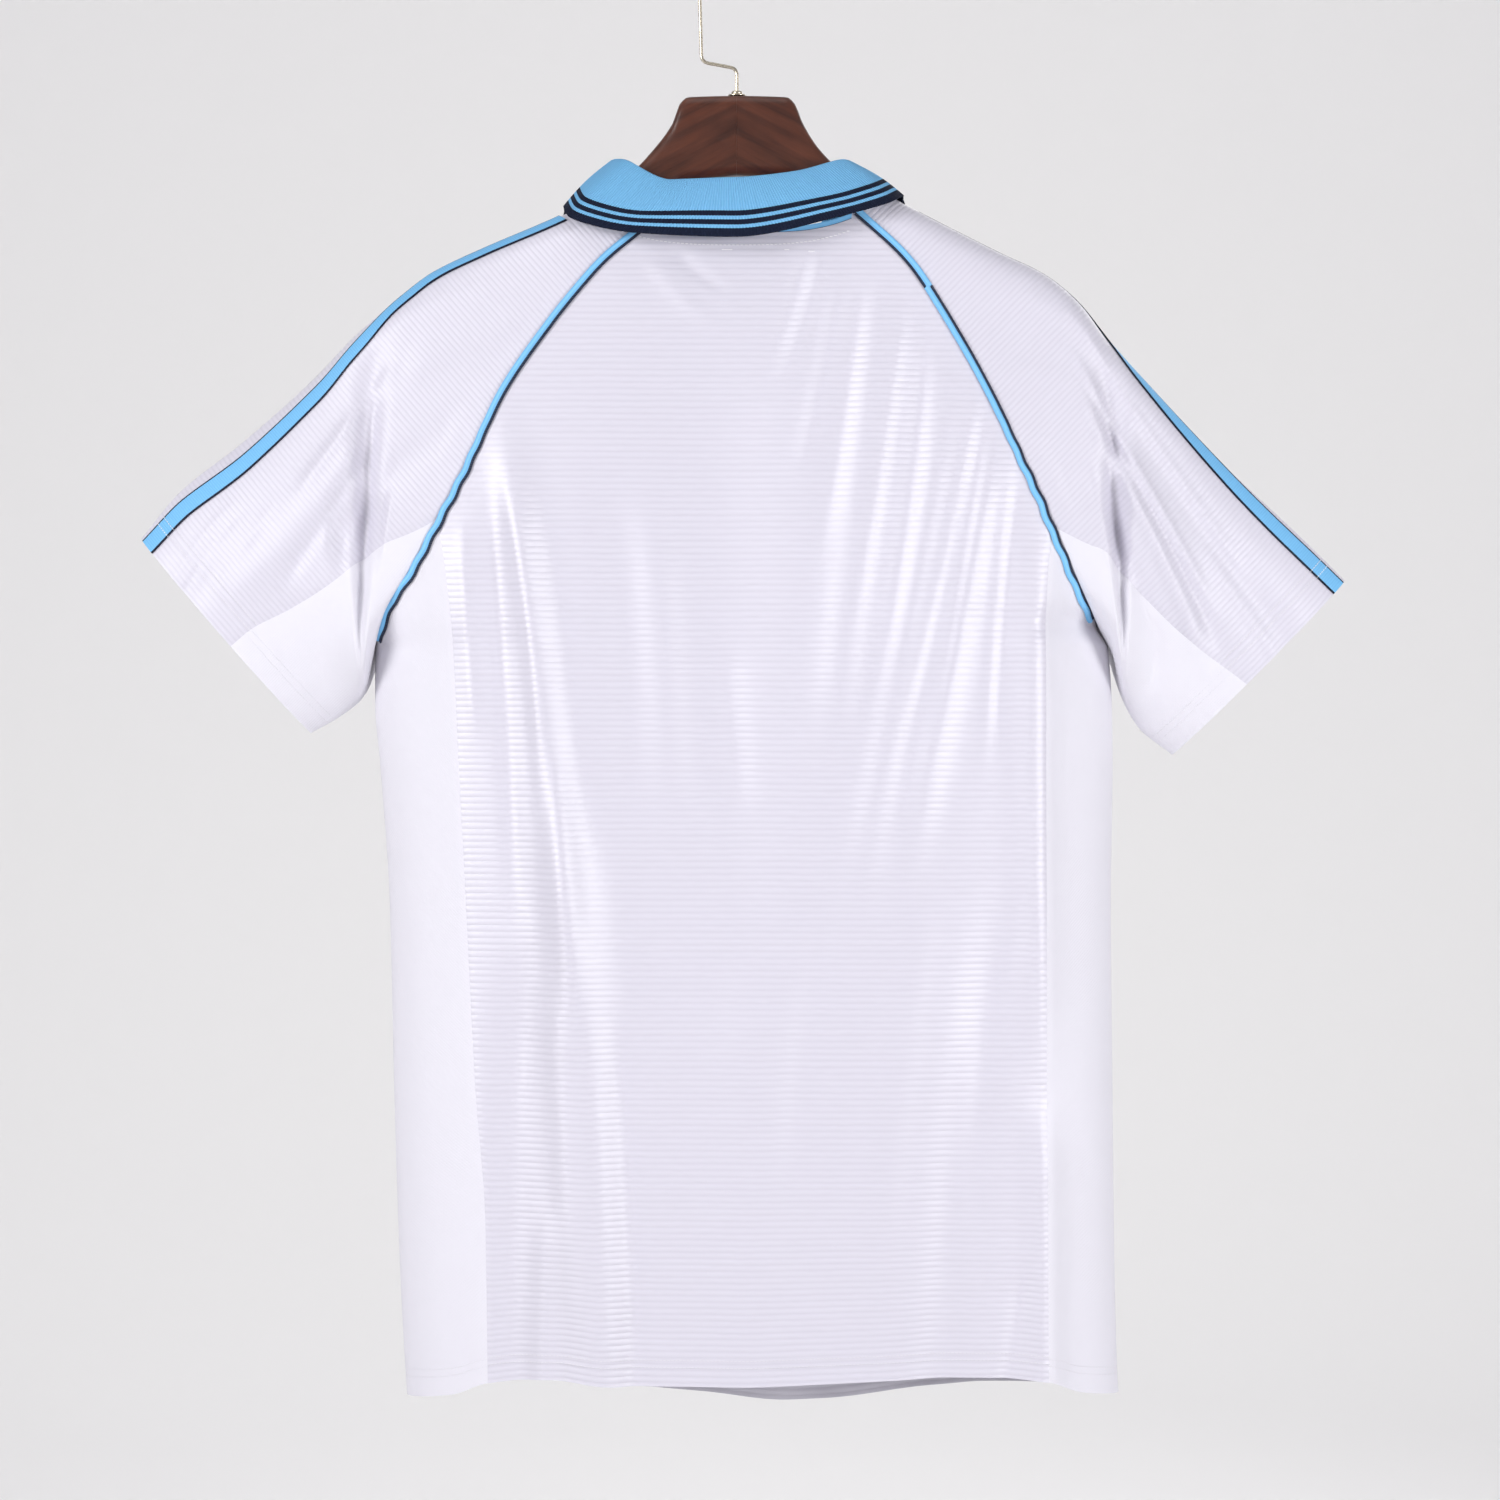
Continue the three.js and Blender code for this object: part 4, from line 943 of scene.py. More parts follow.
# Along the sleeve, and where around it they start and end: 0 is the top line and 1 the underside.
SLEEVE_FOLD_COLUMNS = ["start", "end", "around_start", "around_end", "width", "height"]
SLEEVE_FOLDS = {
    "left": table(SLEEVE_FOLD_COLUMNS, [
        [0.34, 0.62, 0.62, 0.5, 0.09, -8],
        [0.4, 0.98, 0.3, 0.42, 0.12, 4],
        [0.7, 1.2, 0.36, 0.3, 0.05, -1.6],
        [0.38, 0.7, 0.2, 0.3, 0.03, 2.2],
        [0.42, 0.8, 0.36, 0.52, 0.035, -2.4],
        [0.8, 1.06, 0.16, 0.24, 0.014, 0.9],
        [0.78, 1.04, 0.2, 0.3, 0.014, -0.9],
        [0.72, 0.98, 0.26, 0.4, 0.02, 0.8],
        [0.05, 0.4, 0.3, 0.22, 0.04, 2.2],
        [0.1, 0.42, 0.45, 0.5, 0.05, -2.4],
    ]),
    "right": table(SLEEVE_FOLD_COLUMNS, [
        [0.32, 0.9, 0.26, 0.66, 0.06, 5],
        [0.36, 0.8, 0.5, 0.82, 0.08, -5],
        [0.42, 1.1, 0.12, 0.42, 0.09, -4],
        [0.3, 0.86, 0.16, 0.5, 0.03, 2.4],
        [0.32, 0.95, 0.23, 0.6, 0.035, -2.0],
        [0.34, 0.9, 0.06, 0.3, 0.03, 2.0],
        [0.06, 0.4, 0.36, 0.28, 0.05, 2.2],
        [0.12, 0.42, 0.55, 0.52, 0.05, -2.4],
        [0.7, 1.15, 0.3, 0.5, 0.03, 1.4],
    ]),
}
SLEEVE_STEPS = {"neck": 14, "raglan": 52, "underarm": 26, "inner": 46, "outer": 62}


def sleeve_edge(name, face):
    """The sleeve's inner edge: down the neck, the raglan seam and the underarm seam. Points, directions,
    and each point's place on a ring, in which the neck is up to 3, the raglan to 11 and the underarm to 17."""
    side = SIDES[name]
    steps = SLEEVE_STEPS
    s = np.linspace(0, 1, steps["neck"] + 1)
    end_x, end_z = neck_end(side, face)
    neck_x = mix(side["neck"], end_x, s ** 2)
    neck_z = neckline(neck_x, face) + (end_z - float(neckline(end_x, face))) * s ** 2
    down = np.linspace(0, 1, steps["raglan"] + 1)[1:]
    raglan_x, raglan_z = raglan_line(side, face, 1 - down)
    under = np.linspace(0, 1, steps["underarm"] + 1)[1:]
    under_x, under_z = underarm_line(name, under)
    x = np.concatenate([neck_x, raglan_x, under_x])
    z = np.concatenate([neck_z, raglan_z, under_z])
    points = skin(x, z, face)
    points[-1, 1] = 0
    normals = skin_normal(points, face)
    normals[-1] = (side["sign"], 0, 0)
    return points, normals, np.concatenate([3 * s, 3 + 8 * down, 11 + 6 * under])


def ring_shares(ring, seam_at):
    """The share of the way down a ring, with the under-sleeve seam where it belongs."""
    crowded = lambda share: 1 - np.cos(share * SLEEVE["crowd"] * math.pi)
    over = seam_at * crowded(np.minimum(ring / 11, 1)) / crowded(1)
    under = mix(seam_at, 1, np.sin(clamp((ring - 11) / 6) * math.pi / 2))
    return np.where(ring <= 11, over, under)


def sleeve_fold(name, along, down):
    total = 0
    for fold in SLEEVE_FOLDS[name]:
        t = (along - fold["start"]) / (fold["end"] - fold["start"])
        path = mix(fold["around_start"], fold["around_end"], t)
        fade = smooth(t / 0.25) * smooth((1 - t) / 0.25)
        total = total + fold["height"] * fade * np.exp(-(((down - path) / fold["width"]) ** 2))
    return total


def sleeve_half(name, face):
    """Rings of one half of a sleeve, from the body to the cuff, each from the top line to the underside."""
    side, shape = SIDES[name], SLEEVE_SHAPES[name]
    edge, edge_normals, ring = sleeve_edge(name, face)
    flat = edge[:, [0, 2]]
    tip, ridge_foot = np.array(shape["tip"], float), np.array(shape["ridge_foot"], float)
    cuff_top, cuff_foot = np.array(shape["cuff_top"], float), np.array(shape["cuff_foot"], float)
    ridge_share = ring_shares(ring, shape["under_seam"][0])
    cuff_share = ring_shares(ring, shape["under_seam"][1])
    on_ridge = mix(tip, ridge_foot, ridge_share[:, None])
    on_cuff = mix(cuff_top, cuff_foot, cuff_share[:, None])
    foot = clamp((on_ridge[:, 1] - ridge_foot[1]) / RIDGE["foot_round"])
    head = clamp((tip[1] - on_ridge[:, 1]) / SHOULDER_ROUND)
    ridge_depth = RIDGE["share"] * body_depth(on_ridge[:, 1]) * np.sqrt(foot * (2 - foot) * head * (2 - head))
    under_x, under_z = follow(shape["under"], "along", "x"), follow(shape["under"], "along", "z")
    inner, outer = SLEEVE_STEPS["inner"], SLEEVE_STEPS["outer"]
    rows = []
    for row in range(inner + outer + 1):
        is_inner = row <= inner
        t = row / inner if is_inner else (row - inner) / outer
        along = t * SLEEVE["tip_at"] if is_inner else mix(SLEEVE["tip_at"], 1, t)
        under_along = t * SLEEVE["under_tip_at"] if is_inner else mix(SLEEVE["under_tip_at"], 1, t)
        top_x = mix(side["neck"], shape["cuff_top"][0], along)
        top = np.array([top_x, float(shoulder_line(top_x))])
        low = np.array([float(under_x(under_along)), float(under_z(under_along))])
        start, stop = (flat, on_ridge) if is_inner else (on_ridge, on_cuff)
        shares = (ring / 17, ridge_share) if is_inner else (ridge_share, cuff_share)
        down = mix(shares[0], shares[1], t)
        corners = (flat[0], tip, flat[-1], ridge_foot) if is_inner else (tip, cuff_top, ridge_foot, cuff_foot)
        spot = mix(start, stop, t)
        spot = spot + (top - mix(corners[0], corners[1], t)) * (1 - down)[:, None]
        spot = spot + (low - mix(corners[2], corners[3], t)) * down[:, None]
        if is_inner:
            depth = mix(np.abs(edge[:, 1]), ridge_depth, t) + sleeve_fold(name, along, down) * t
        else:
            bulge = np.maximum(0, 1 - np.abs(2 * down - 1) ** SLEEVE["power"]) ** SLEEVE["flat"]
            own = mix(SLEEVE["depth"], shape["cuff_depth"], t) * bulge
            depth = mix(ridge_depth, own, smooth(t / SLEEVE["fills_at"])) + sleeve_fold(name, along, down) * bulge
            beyond = math.exp(-(((t - RIDGE["drop_at"]) / RIDGE["drop_width"]) ** 2)) - math.exp(-((RIDGE["drop_at"] / RIDGE["drop_width"]) ** 2))
            depth = depth - RIDGE["drop"] * max(beyond, 0) * smooth(down / 0.35) * smooth((1 - down) / 0.3)
        if row == 0:
            rows.append(edge)
            continue
        depth[0] = depth[-1] = 0
        rows.append(xyz(spot[:, 0], FACES[face] * depth, spot[:, 1]))
    return np.array(rows), edge_normals, ring


def soften(points, middle, reach, times):
    """Rounds a crease that runs across the rows, in the rows near it."""
    points = points.copy()
    weight = np.exp(-(((np.arange(len(points)) - middle) / reach) ** 2))[1:-1, None, None]
    for _ in range(times):
        average = (points[:-2] + 2 * points[1:-1] + points[2:]) / 4
        points[1:-1] = mix(points[1:-1], average, weight)
    return points


def sleeve_rings(name):
    """The whole sleeve: each ring goes from the top line behind, under the arm, and up in front."""
    back, back_normals, ring = sleeve_half(name, "back")
    front, front_normals, _ = sleeve_half(name, "front")
    points = np.concatenate([back, front[:, -2:0:-1]], axis=1)
    points = soften(points, SLEEVE_STEPS["inner"], 2, 4)
    seam_normals = np.concatenate([back_normals, front_normals[-2:0:-1]])
    places = np.concatenate([ring, ring[-2:0:-1]])
    along = np.gradient(points, axis=0)
    round_it = np.roll(points, -1, axis=1) - np.roll(points, 1, axis=1)
    normals = unit(np.cross(round_it, along)) * SIDES[name]["sign"]
    under = clamp((places - 11) / 6)
    points[0] += seam_normals * (ARMPIT_CLEARANCE * under)[:, None]
    normals[0] = unit(mix(seam_normals, normals[0], smooth(under)[:, None]))
    return points, normals, places


def cuff_distance(name, points):
    """How far inside the cuff's edge a point is, measured in the plane of the sleeve."""
    shape = SLEEVE_SHAPES[name]
    top, foot = np.array(shape["cuff_top"], float), np.array(shape["cuff_foot"], float)
    along_cuff = unit(foot - top)
    inward = np.array([along_cuff[1], -along_cuff[0]]) * SIDES[name]["sign"]
    if np.dot(inward, -top) < 0:
        inward = -inward
    flat = points[..., [0, 2]] - top
    return flat @ inward, flat @ along_cuff


sleeve_knit = rib_knit("ribbed_satin_sleeve", RIB["sleeve_pitch"], CUFF_ROWS, 0.45)


def make_sleeve(name):
    points, normals, places = sleeve_rings(name)
    seam_index = SLEEVE_STEPS["neck"] + SLEEVE_STEPS["raglan"]
    count = points.shape[1]
    spans = {
        "over": np.arange(-seam_index, seam_index + 1) % count,
        "under": np.arange(seam_index, count - seam_index + 1),
    }
    made = []
    for part, columns in spans.items():
        grid, outward = points[:, columns], normals[:, columns]
        grid = grid - outward * seam_dip(grid, "tlr")[..., None]
        inside, along = cuff_distance(name, grid)
        uv = np.stack([along, inside], axis=-1)
        label = "sleeve_cloth" if part == "over" else "under_sleeve_cloth"
        piece = shell(f"{label}_{name}", grid, outward, CLOTH, uv)
        node = f"sleeve_{name}" if part == "over" else f"under_sleeve_{name}"
        material = sleeve_knit if part == "over" else mesh_knit.material
        made.append(finish_piece(piece, material, [node]))
    boards[0 if name == "left" else 1]
    return made


sleeves = {name: make_sleeve(name) for name in SIDES}

# Sleeve tapes
# Light blue woven tape with a thin navy line along each edge, sewn down the top of each sleeve from
# the collar to the cuff. The cuff's two rows of white stitching run across it.

TAPE = {"width": 13, "thickness": 0.8, "lift": 0.35, "columns": 14, "navy": 1.0}
BLUE = (0.155, 0.43, 0.74)
NAVY = (0.004, 0.008, 0.026)
# How far behind the top line its inner edge is seen, from straight behind. Below 0 it lies in front.
TAPE_EDGES = {
    "left": table(["along", "behind"], [[0, 7], [0.3, 6.5], [0.41, 8], [0.5, 13.5], [0.7, 17], [0.84, 18.5], [1, 13]]),
    "right": table(["along", "behind"], [[0, -3], [0.36, -3], [0.46, 0], [0.53, 4.3], [0.72, 9.8], [0.9, 13.4], [1, 12.7]]),
}

woven = Shader("woven_tape", Roughness=0.6, Specular_IOR_Level=0.3)
point, across, along = woven.uv()
cross_rib = along.wave(1.5 * MM)
edge_line = (across < TAPE["navy"] * MM).math("MAXIMUM", across > (TAPE["width"] - TAPE["navy"]) * MM)
sewn = stitch_rows(woven, across, along, (14.5, 20.0), 0.4, 2.2)
# Painted light and shade: the tape is painted lighter on the crests of its cross ribs and darker between them.
shade = woven.blend(cross_rib.math("MULTIPLY_ADD", 0.5, 0.5) * 0.45, BLUE, (0.22, 0.53, 0.83))
shade = woven.blend(edge_line, shade, NAVY)
woven.colour(woven.blend(sewn, shade, (0.85, 0.86, 0.92)))
woven.bump(cross_rib * 0.5 + sewn * 2.5, 0.00012)


def make_tape(name):
    points, normals, _ = sleeve_rings(name)
    inner, half = SLEEVE_STEPS["inner"], 60
    behind = follow(TAPE_EDGES[name], "along", "behind")
    order = np.arange(-half, half + 1) % points.shape[1]
    first = 7
    row = np.arange(first, len(points))
    along = np.where(row <= inner, row / inner * SLEEVE["tip_at"],
                     mix(SLEEVE["tip_at"], 1, (row - inner) / SLEEVE_STEPS["outer"]))
    rings, outward = points[first:, order], normals[first:, order]
    walked = lengths(rings, 1)
    walked = walked - walked[:, half:half + 1]
    way = unit(np.gradient(rings[:, half], axis=0))
    away = rings - rings[:, half:half + 1]
    seen = np.abs(away[..., 0] * way[:, None, 2] - away[..., 2] * way[:, None, 0])
    target = behind(along)
    edge = np.array([np.interp(t, seen[i, half:], walked[i, half:]) if t > 0 else t for i, t in enumerate(target)])
    for _ in range(6):
        edge[1:-1] = (edge[:-2] + 2 * edge[1:-1] + edge[2:]) / 4
    wanted = edge[:, None] - TAPE["width"] * np.linspace(1, 0, TAPE["columns"] + 1)
    laid = lambda what: np.array([
        [np.interp(w, walked[i], what[i, :, k]) for k in range(3)] for i, w in enumerate(wanted)
    ]).transpose(0, 2, 1)
    outward = unit(laid(outward))
    grid = laid(rings) + outward * (TAPE["lift"] + TAPE["thickness"])
    from_cuff = lengths(grid, 0)
    from_cuff = from_cuff[-1:] - from_cuff
    across = np.broadcast_to(np.linspace(0, TAPE["width"], TAPE["columns"] + 1), from_cuff.shape)
    piece = shell(f"tape_{name}", grid, outward, TAPE["thickness"], np.stack([across, from_cuff], axis=-1))
    finish_piece(piece, woven.material, [f"sleeve_tape_{name}"])
    return piece


tapes = {name: make_tape(name) for name in SIDES}

# Raglan piping
# A folded band of light blue knit caught in each raglan seam, held down along one side by a navy
# cover stitch. On the right of the back it twists over, so that the navy side changes places.

PIPING = {"width": 5.2, "thickness": 0.8, "blue": 3.5, "lift": 0.3, "crown": 0.9, "columns": 12, "rows": 150,
          "starts": {"back": 0.998, "front": 0.86}}
TWIST_AT = 0.76  # up the right raglan seam behind

folded = Shader("blue_piping", Roughness=0.55, Specular_IOR_Level=0.3)
point, across, along = folded.uv()
is_navy = across > PIPING["blue"] * MM
cover = (along + across * 0.6).wave(1.15 * MM)
# Painted highlight: a lighter blue line along the top of the band's rounded crown.
blue_tone = folded.blend(across.near(1.6 * MM, 1.6 * MM) * 0.6, BLUE, (0.25, 0.58, 0.90))
navy_tone = folded.blend((cover > 0.55) * 0.5, NAVY, (0.12, 0.15, 0.24))
folded.colour(folded.blend(is_navy, blue_tone, navy_tone))
folded.bump(cover * is_navy * 1.2 + folded.noise(point, 700.0, 2.0) * 0.5, 0.00015)


def make_piping(name, face):
    side = SIDES[name]
    up = np.linspace(PIPING["starts"][face], 0, PIPING["rows"])
    x, z = raglan_line(side, face, up)
    down = np.linspace(0, 1, 40)[1:32]
    under_x, under_z = underarm_line(name, down)
    seam = skin(np.concatenate([x, under_x]), np.concatenate([z, under_z]), face)
    along = unit(np.gradient(seam, axis=0))
    normal = skin_normal(seam, face)
    to_body = unit(np.cross(along, normal))
    if to_body[10, 0] * side["sign"] > 0:
        to_body = -to_body
    walked = lengths(seam[:, None], 0)[:, 0]
    past = smooth((walked - walked[PIPING["rows"] - 62]) / 60)
    wave = 0.45 * np.sin(walked / 2.9) * past
    shift = 0.4 * PIPING["width"] * past + wave
    across = np.linspace(-0.5, 0.5, PIPING["columns"] + 1)
    flat = seam[:, None] + to_body[:, None] * (across[None, :, None] * PIPING["width"] + shift[:, None, None])
    base = raised(flat, face, PIPING["lift"] + PIPING["thickness"])
    outward = skin_normal(base, face)
    from_sleeve = (across + 0.5) * PIPING["width"]
    flips = name == "right" and face == "back"
    from_blue = np.broadcast_to(from_sleeve, base.shape[:2]).copy()
    if flips:
        turned = up < TWIST_AT
        turned = np.concatenate([turned, np.ones(len(down), bool)])
        from_blue[turned] = PIPING["width"] - from_blue[turned]
    crown = np.where(from_blue < PIPING["blue"], np.sin(clamp(from_blue / PIPING["blue"]) * math.pi), 0)
    crown = crown * smooth(walked / 14)[:, None]
    base = base + outward * (crown * PIPING["crown"])[..., None]
    grid_along = np.broadcast_to(walked[:, None], base.shape[:2])
    piece = shell(f"piping_{face}_{name}", base, outward, PIPING["thickness"], np.stack([from_blue, grid_along], axis=-1))
    finish_piece(piece, folded.material, [f"raglan_piping_{face}_{name}"])
    return piece


pipings = [make_piping(name, face) for name in SIDES for face in FACES]

# Neck tape
# A narrow light blue tape sewn over the back neck seam. It shows only under the collar's edge.

NECK_TAPE = {"below": 0.6, "width": 2.6, "wider": 0.6, "thickness": 0.6, "lift": 0.2}


def make_neck_tape():
    x = np.linspace(SIDES["left"]["raglan"][-1]["x"] + 7, SIDES["right"]["raglan"][-1]["x"] - 3, 60)[None, :]
    drop = np.linspace(0, 1, 6)[:, None]
    width = NECK_TAPE["width"] + NECK_TAPE["wider"] * smooth((x - 20) / 30)
    z = neckline(x, "back") - NECK_TAPE["below"] - drop * width
    points = skin(x, z, "back")
    normals = skin_normal(points, "back")
    points = points + normals * (NECK_TAPE["thickness"] + NECK_TAPE["lift"])
    uv = np.stack(np.broadcast_arrays(drop * 3.5 + 0.2, x), axis=-1)
    piece = shell("neck_band", points, normals, NECK_TAPE["thickness"], uv)
    finish_piece(piece, folded.material, ["neck_tape"])
    return piece


neck_band = make_neck_tape()

# Neck stitching
# A row of white lockstitches that holds the neck tape's lower edge on the back panel, and the three
# bar tacks of a patch inside it. Each stitch is a short raised loaf of thread on the cloth.

STITCH = {"from": -58, "to": 70, "below": 10.6, "pitch": 2.6, "long": 1.9, "wide": 0.55, "high": 0.35}
TACKS = table(["x", "z", "long"], [[-4.7, -186.5, 7], [31.8, -186.5, 3.2], [47, -187.5, 4.2]])

thread = Shader("white_thread", Base_Color=(0.86, 0.85, 0.88), Roughness=0.45)


def make_neck_stitches():
    row_x = np.arange(STITCH["from"], STITCH["to"], STITCH["pitch"])
    x = np.concatenate([row_x, [tack["x"] for tack in TACKS]])
    z = np.concatenate([neckline(row_x, "back") - STITCH["below"], [tack["z"] for tack in TACKS]])
    long = np.concatenate([np.full(len(row_x), STITCH["long"]), [tack["long"] for tack in TACKS]])
    corner_x = np.array([-1, 1, 1, -1, -0.7, 0.7, 0.7, -0.7])
    corner_z = np.array([-1, -1, 1, 1, -0.4, -0.4, 0.4, 0.4])
    lift = np.array([-0.1] * 4 + [STITCH["high"]] * 4)
    points = skin(x[:, None] + corner_x * long[:, None] / 2, z[:, None] + corner_z * STITCH["wide"] / 2, "back")
    points = points + skin_normal(points, "back") * lift[:, None]
    loaf = [[4, 5, 6, 7], [3, 2, 1, 0], [0, 1, 5, 4], [1, 2, 6, 5], [2, 3, 7, 6], [3, 0, 4, 7]]
    faces = [[8 * stitch + corner for corner in face] for stitch in range(len(x)) for face in loaf]
    piece = add_mesh("neck_stitches", points.reshape(-1, 3), faces)
    return finish_piece(piece, thread.material, ["back_panel"])


neck_stitches = make_neck_stitches()

# Collar
# A fold-down collar in light blue rib knit with three navy stripes near its edge. It stands up from
# the neck seam, rolls over and falls outside it, and its ends meet at the V in front.

COLLAR = {"thickness": 1.3, "roll": 2.6, "belly": 1.5, "seam_gap": 0.4, "clearance": 2.0, "front_gap": 3.5}
COLLAR_LINE = table(["angle", "fold_x", "fold_y", "fold_z", "edge_x", "edge_y", "edge_z"], [
    [-84, 6, 35, -232, 33, 45, -278],
    [-60, 34, 32, -196, 76, 42, -240],
    [-30, 62, 22, -154, 104, 28, -194],
    [0, 74, 2, -132.5, 104, 0, -150.5],
    [25, 68, -20, -132.5, 97, -28, -157],
    [55, 38, -34, -141.5, 62, -42, -169],
    [90, -2, -38, -146.5, 0, -46, -181.5],
    [125, -40, -36, -147, -62, -43, -178.5],
    [155, -68, -22, -133, -102, -30, -166.5],
    [180, -76, 2, -130, -105.5, 0, -157],
    [210, -62, 22, -152, -102, 28, -197],
    [240, -30, 32, -198, -72, 42, -243],
    [264, -2, 35, -234, -30, 45, -280],
])
collar_curves = {name: follow(COLLAR_LINE, "angle", name) for name in list(COLLAR_LINE[0])[1:]}
STRIPES = ((-3.0, 4.9), (7.1, 10.3), (12.6, 15.9))  # navy, from the free edge up

collar_knit = Shader("collar_rib", Roughness=0.85, Specular_IOR_Level=0.2)
point, along, up = collar_knit.uv()
rib = along.wave(1.6 * MM)
course = up.wave(0.9 * MM)
is_stripe = None
for low, high in STRIPES:
    band = (up + rib * 0.00012).band(low * MM, high * MM)
    is_stripe = band if is_stripe is None else is_stripe + band
# Painted shade and highlight: a darker blue in the hollows between the ribs, and a lighter blue on the raised courses.
blue_tone = collar_knit.blend(rib.math("MULTIPLY_ADD", -0.5, 0.5) * 0.55, (0.19, 0.47, 0.76), (0.10, 0.33, 0.62))
blue_tone = collar_knit.blend((course > 0.5) * 0.15, blue_tone, (0.25, 0.55, 0.85))
collar_knit.colour(collar_knit.blend(is_stripe, blue_tone, NAVY))
collar_knit.bump(rib + course * 0.35, 0.00022)


LEAF_ROWS = 22


def collar_section(angle):
    """One section through the collar, from the leaf's free edge over the roll and down to the seam."""
    turned = math.radians(angle)
    face = "back" if math.sin(turned) > 0 else "front"
    front = math.cos(math.radians(COLLAR_LINE[0]["angle"]))
    out = abs(math.cos(turned))
    share = out ** 0.8 if face == "back" else min(1, max(0, (out - front) / (1 - front)))
    start = NECK["v_middle"] + math.copysign(COLLAR["front_gap"], math.cos(turned))
    x = mix(NECK["v_middle"] if face == "back" else start, NECK_LEFT if math.cos(turned) < 0 else NECK_RIGHT, share)
    seam = skin(x, neckline(x, face), face, fine=False)
    normal = skin_normal(seam, face, fine=False)
    fold = np.array([float(collar_curves[f"fold_{k}"](angle)) for k in "xyz"])
    edge = np.array([float(collar_curves[f"edge_{k}"](angle)) for k in "xyz"])
    leaf_way, stand_way = unit(edge - fold), unit(fold - seam)
    leaf_out = unit(normal - leaf_way * normal.dot(leaf_way))
    neck_side = -unit(normal - stand_way * normal.dot(stand_way))
    up = unit(stand_way - leaf_way)
    base = seam + stand_way * COLLAR["seam_gap"]
    thickness, roll = COLLAR["thickness"], COLLAR["roll"]
    points, normals = [], []
    for drop in np.linspace(1, 0.06, LEAF_ROWS):
        lift = mix(roll, thickness, drop) + COLLAR["belly"] * math.sin(math.pi * drop)
        points.append(mix(fold, edge, drop) + leaf_out * lift)
        normals.append(leaf_out)
    for turn_share in np.linspace(-0.8, 0.8, 9):
        toward = unit(mix(leaf_out, up, 1 + turn_share) if turn_share < 0 else mix(up, neck_side, turn_share))
        points.append(fold + toward * roll)
        normals.append(toward)
    for height in np.linspace(0.9, 0, 12):
        points.append(mix(base, fold, height) + neck_side * mix(thickness, roll, height))
        normals.append(neck_side)
    return points, normals


def make_collar():
    angles = np.linspace(COLLAR_LINE[0]["angle"], COLLAR_LINE[-1]["angle"], 250)
    sections = [collar_section(angle) for angle in angles]
    points = np.array([section[0] for section in sections])
    normals = np.array([section[1] for section in sections])
    clear = COLLAR["thickness"] + COLLAR["clearance"]
    for face in FACES:
        part = (np.sin(np.radians(angles)) > 0) == (face == "back")
        points[part, :LEAF_ROWS] = raised(points[part, :LEAF_ROWS], face, clear, True)
    up = lengths(points, 1)
    along = np.broadcast_to(lengths(points, 0)[:, 14:15], up.shape)
    piece = shell("collar_cloth", points, normals, COLLAR["thickness"], np.stack([along, up], axis=-1))
    finish_piece(piece, collar_knit.material, ["collar"], 60)
    return piece


collar = make_collar()

# Floor, light and camera
# A plain pale studio sweep with a large soft light from the upper left, as in the photograph.

COVE = {"floor": -1.35, "flat": 2.3, "bend": 2.9, "top": 6.0, "around": 96}


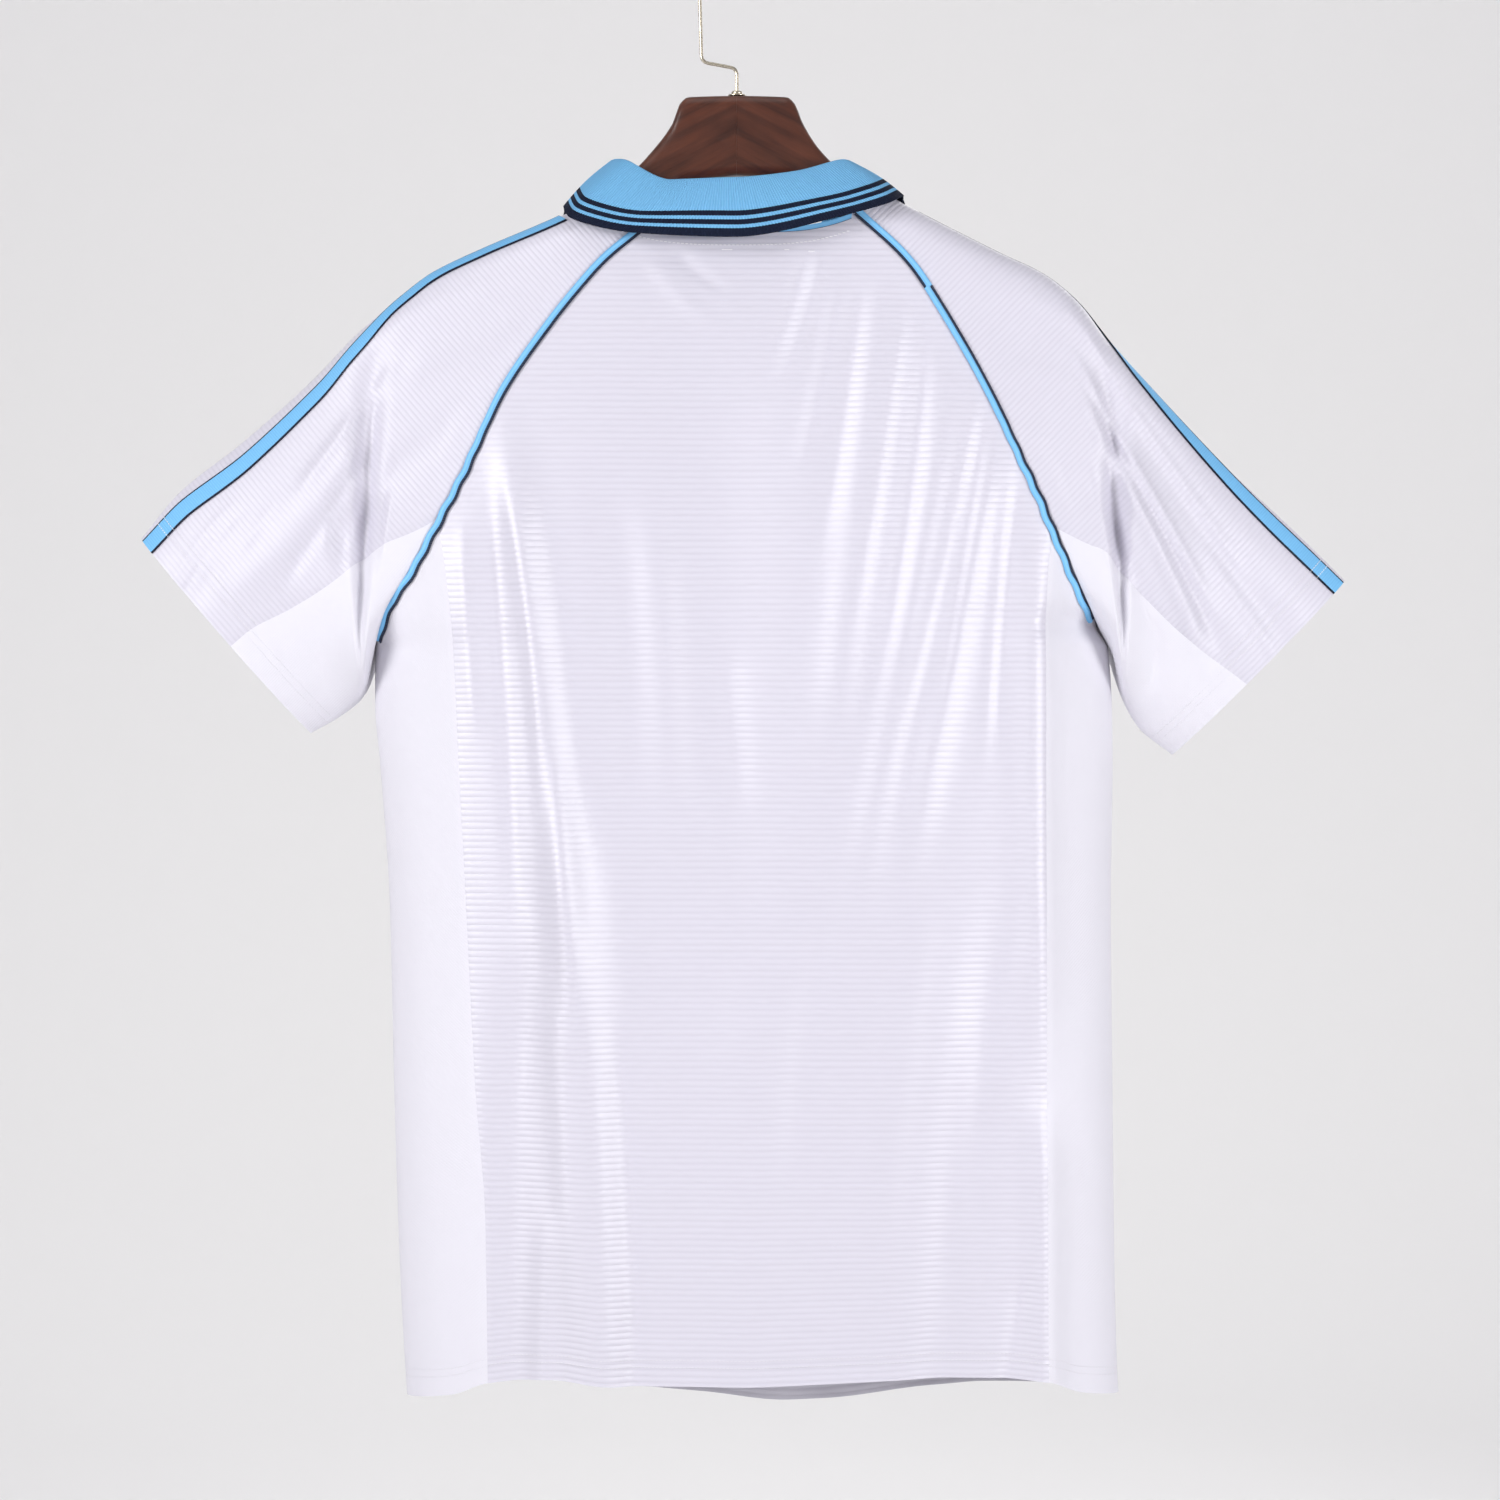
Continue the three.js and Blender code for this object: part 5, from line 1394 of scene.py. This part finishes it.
def make_cove():
    """A round studio cove: a flat floor that bends up into a wall, in metres."""
    turn_up = np.linspace(0, math.pi / 2, 24)
    reach = np.concatenate([[COVE["flat"]], COVE["flat"] + COVE["bend"] * np.sin(turn_up[1:])])
    level = np.concatenate([[0], COVE["bend"] * (1 - np.cos(turn_up[1:]))]) + COVE["floor"]
    reach, level = np.append(reach, reach[-1]), np.append(level, COVE["top"])
    angle = np.linspace(0, 2 * math.pi, COVE["around"], endpoint=False)[None, :]
    rings = xyz(reach[:, None] * np.cos(angle), reach[:, None] * np.sin(angle), level[:, None])
    index = np.arange(rings[..., 0].size).reshape(rings.shape[:2])
    after = np.roll(index, -1, axis=1)
    walls = np.stack([index[:-1], after[:-1], after[1:], index[1:]], axis=-1).reshape(-1, 4)
    middle = rings[..., 0].size
    fan = [[middle, int(b), int(a)] for a, b in zip(index[0], after[0])]
    points = np.concatenate([rings.reshape(-1, 3), [[0, 0, COVE["floor"]]]])
    return add_mesh("backdrop", points / MM, fan + walls.tolist())


backdrop = make_cove()
choose(backdrop)
bpy.ops.object.shade_smooth()
pale = Shader("pale_backdrop", Base_Color=(0.80, 0.79, 0.795), Roughness=1.0)
backdrop.data.materials.append(pale.material)

world = bpy.data.worlds.new("studio")
bpy.context.scene.world = world
world.use_nodes = True
world.node_tree.nodes["Background"].inputs[0].default_value = (0.96, 0.98, 1.0, 1)
world.node_tree.nodes["Background"].inputs[1].default_value = 0.42
bpy.context.scene.view_settings.view_transform = "Standard"

AIM = Vector((0.0093, 0, -0.493))
BACK_WALL = Vector((0.0, 5.0, -0.2))
LIGHTS = table(["name", "x", "y", "z", "size", "power", "aim"], [
    ["key", -1.8, -1.7, 0.25, 1.1, 46, AIM],
    ["fill", 1.9, -1.6, -0.3, 0.8, 34, AIM],
    ["top", -0.2, -0.8, 1.9, 1.4, 5, AIM],
    ["low", 0.1, -1.5, -1.25, 0.6, 1.0, AIM],
    ["behind", 0.9, 1.6, 0.2, 1.2, 5, AIM],
    ["wall", 0.0, 1.6, 1.6, 2.2, 56, BACK_WALL],
])
for row in LIGHTS:
    light = bpy.data.lights.new(row["name"], "AREA")
    light.size = row["size"]
    light.energy = row["power"]
    lamp = bpy.data.objects.new(row["name"], light)
    bpy.context.collection.objects.link(lamp)
    lamp.location = (row["x"], row["y"], row["z"])
    lamp.rotation_euler = (row["aim"] - lamp.location).to_track_quat("-Z", "Y").to_euler()

camera_data = bpy.data.cameras.new("camera")
camera_data.sensor_width = 36
camera_data.lens = 36 * 2200 / 930
camera = bpy.data.objects.new("camera", camera_data)
bpy.context.collection.objects.link(camera)
camera.location = (AIM.x, -2.2, AIM.z)
camera.rotation_euler = (math.radians(90), 0, 0)
bpy.context.scene.camera = camera
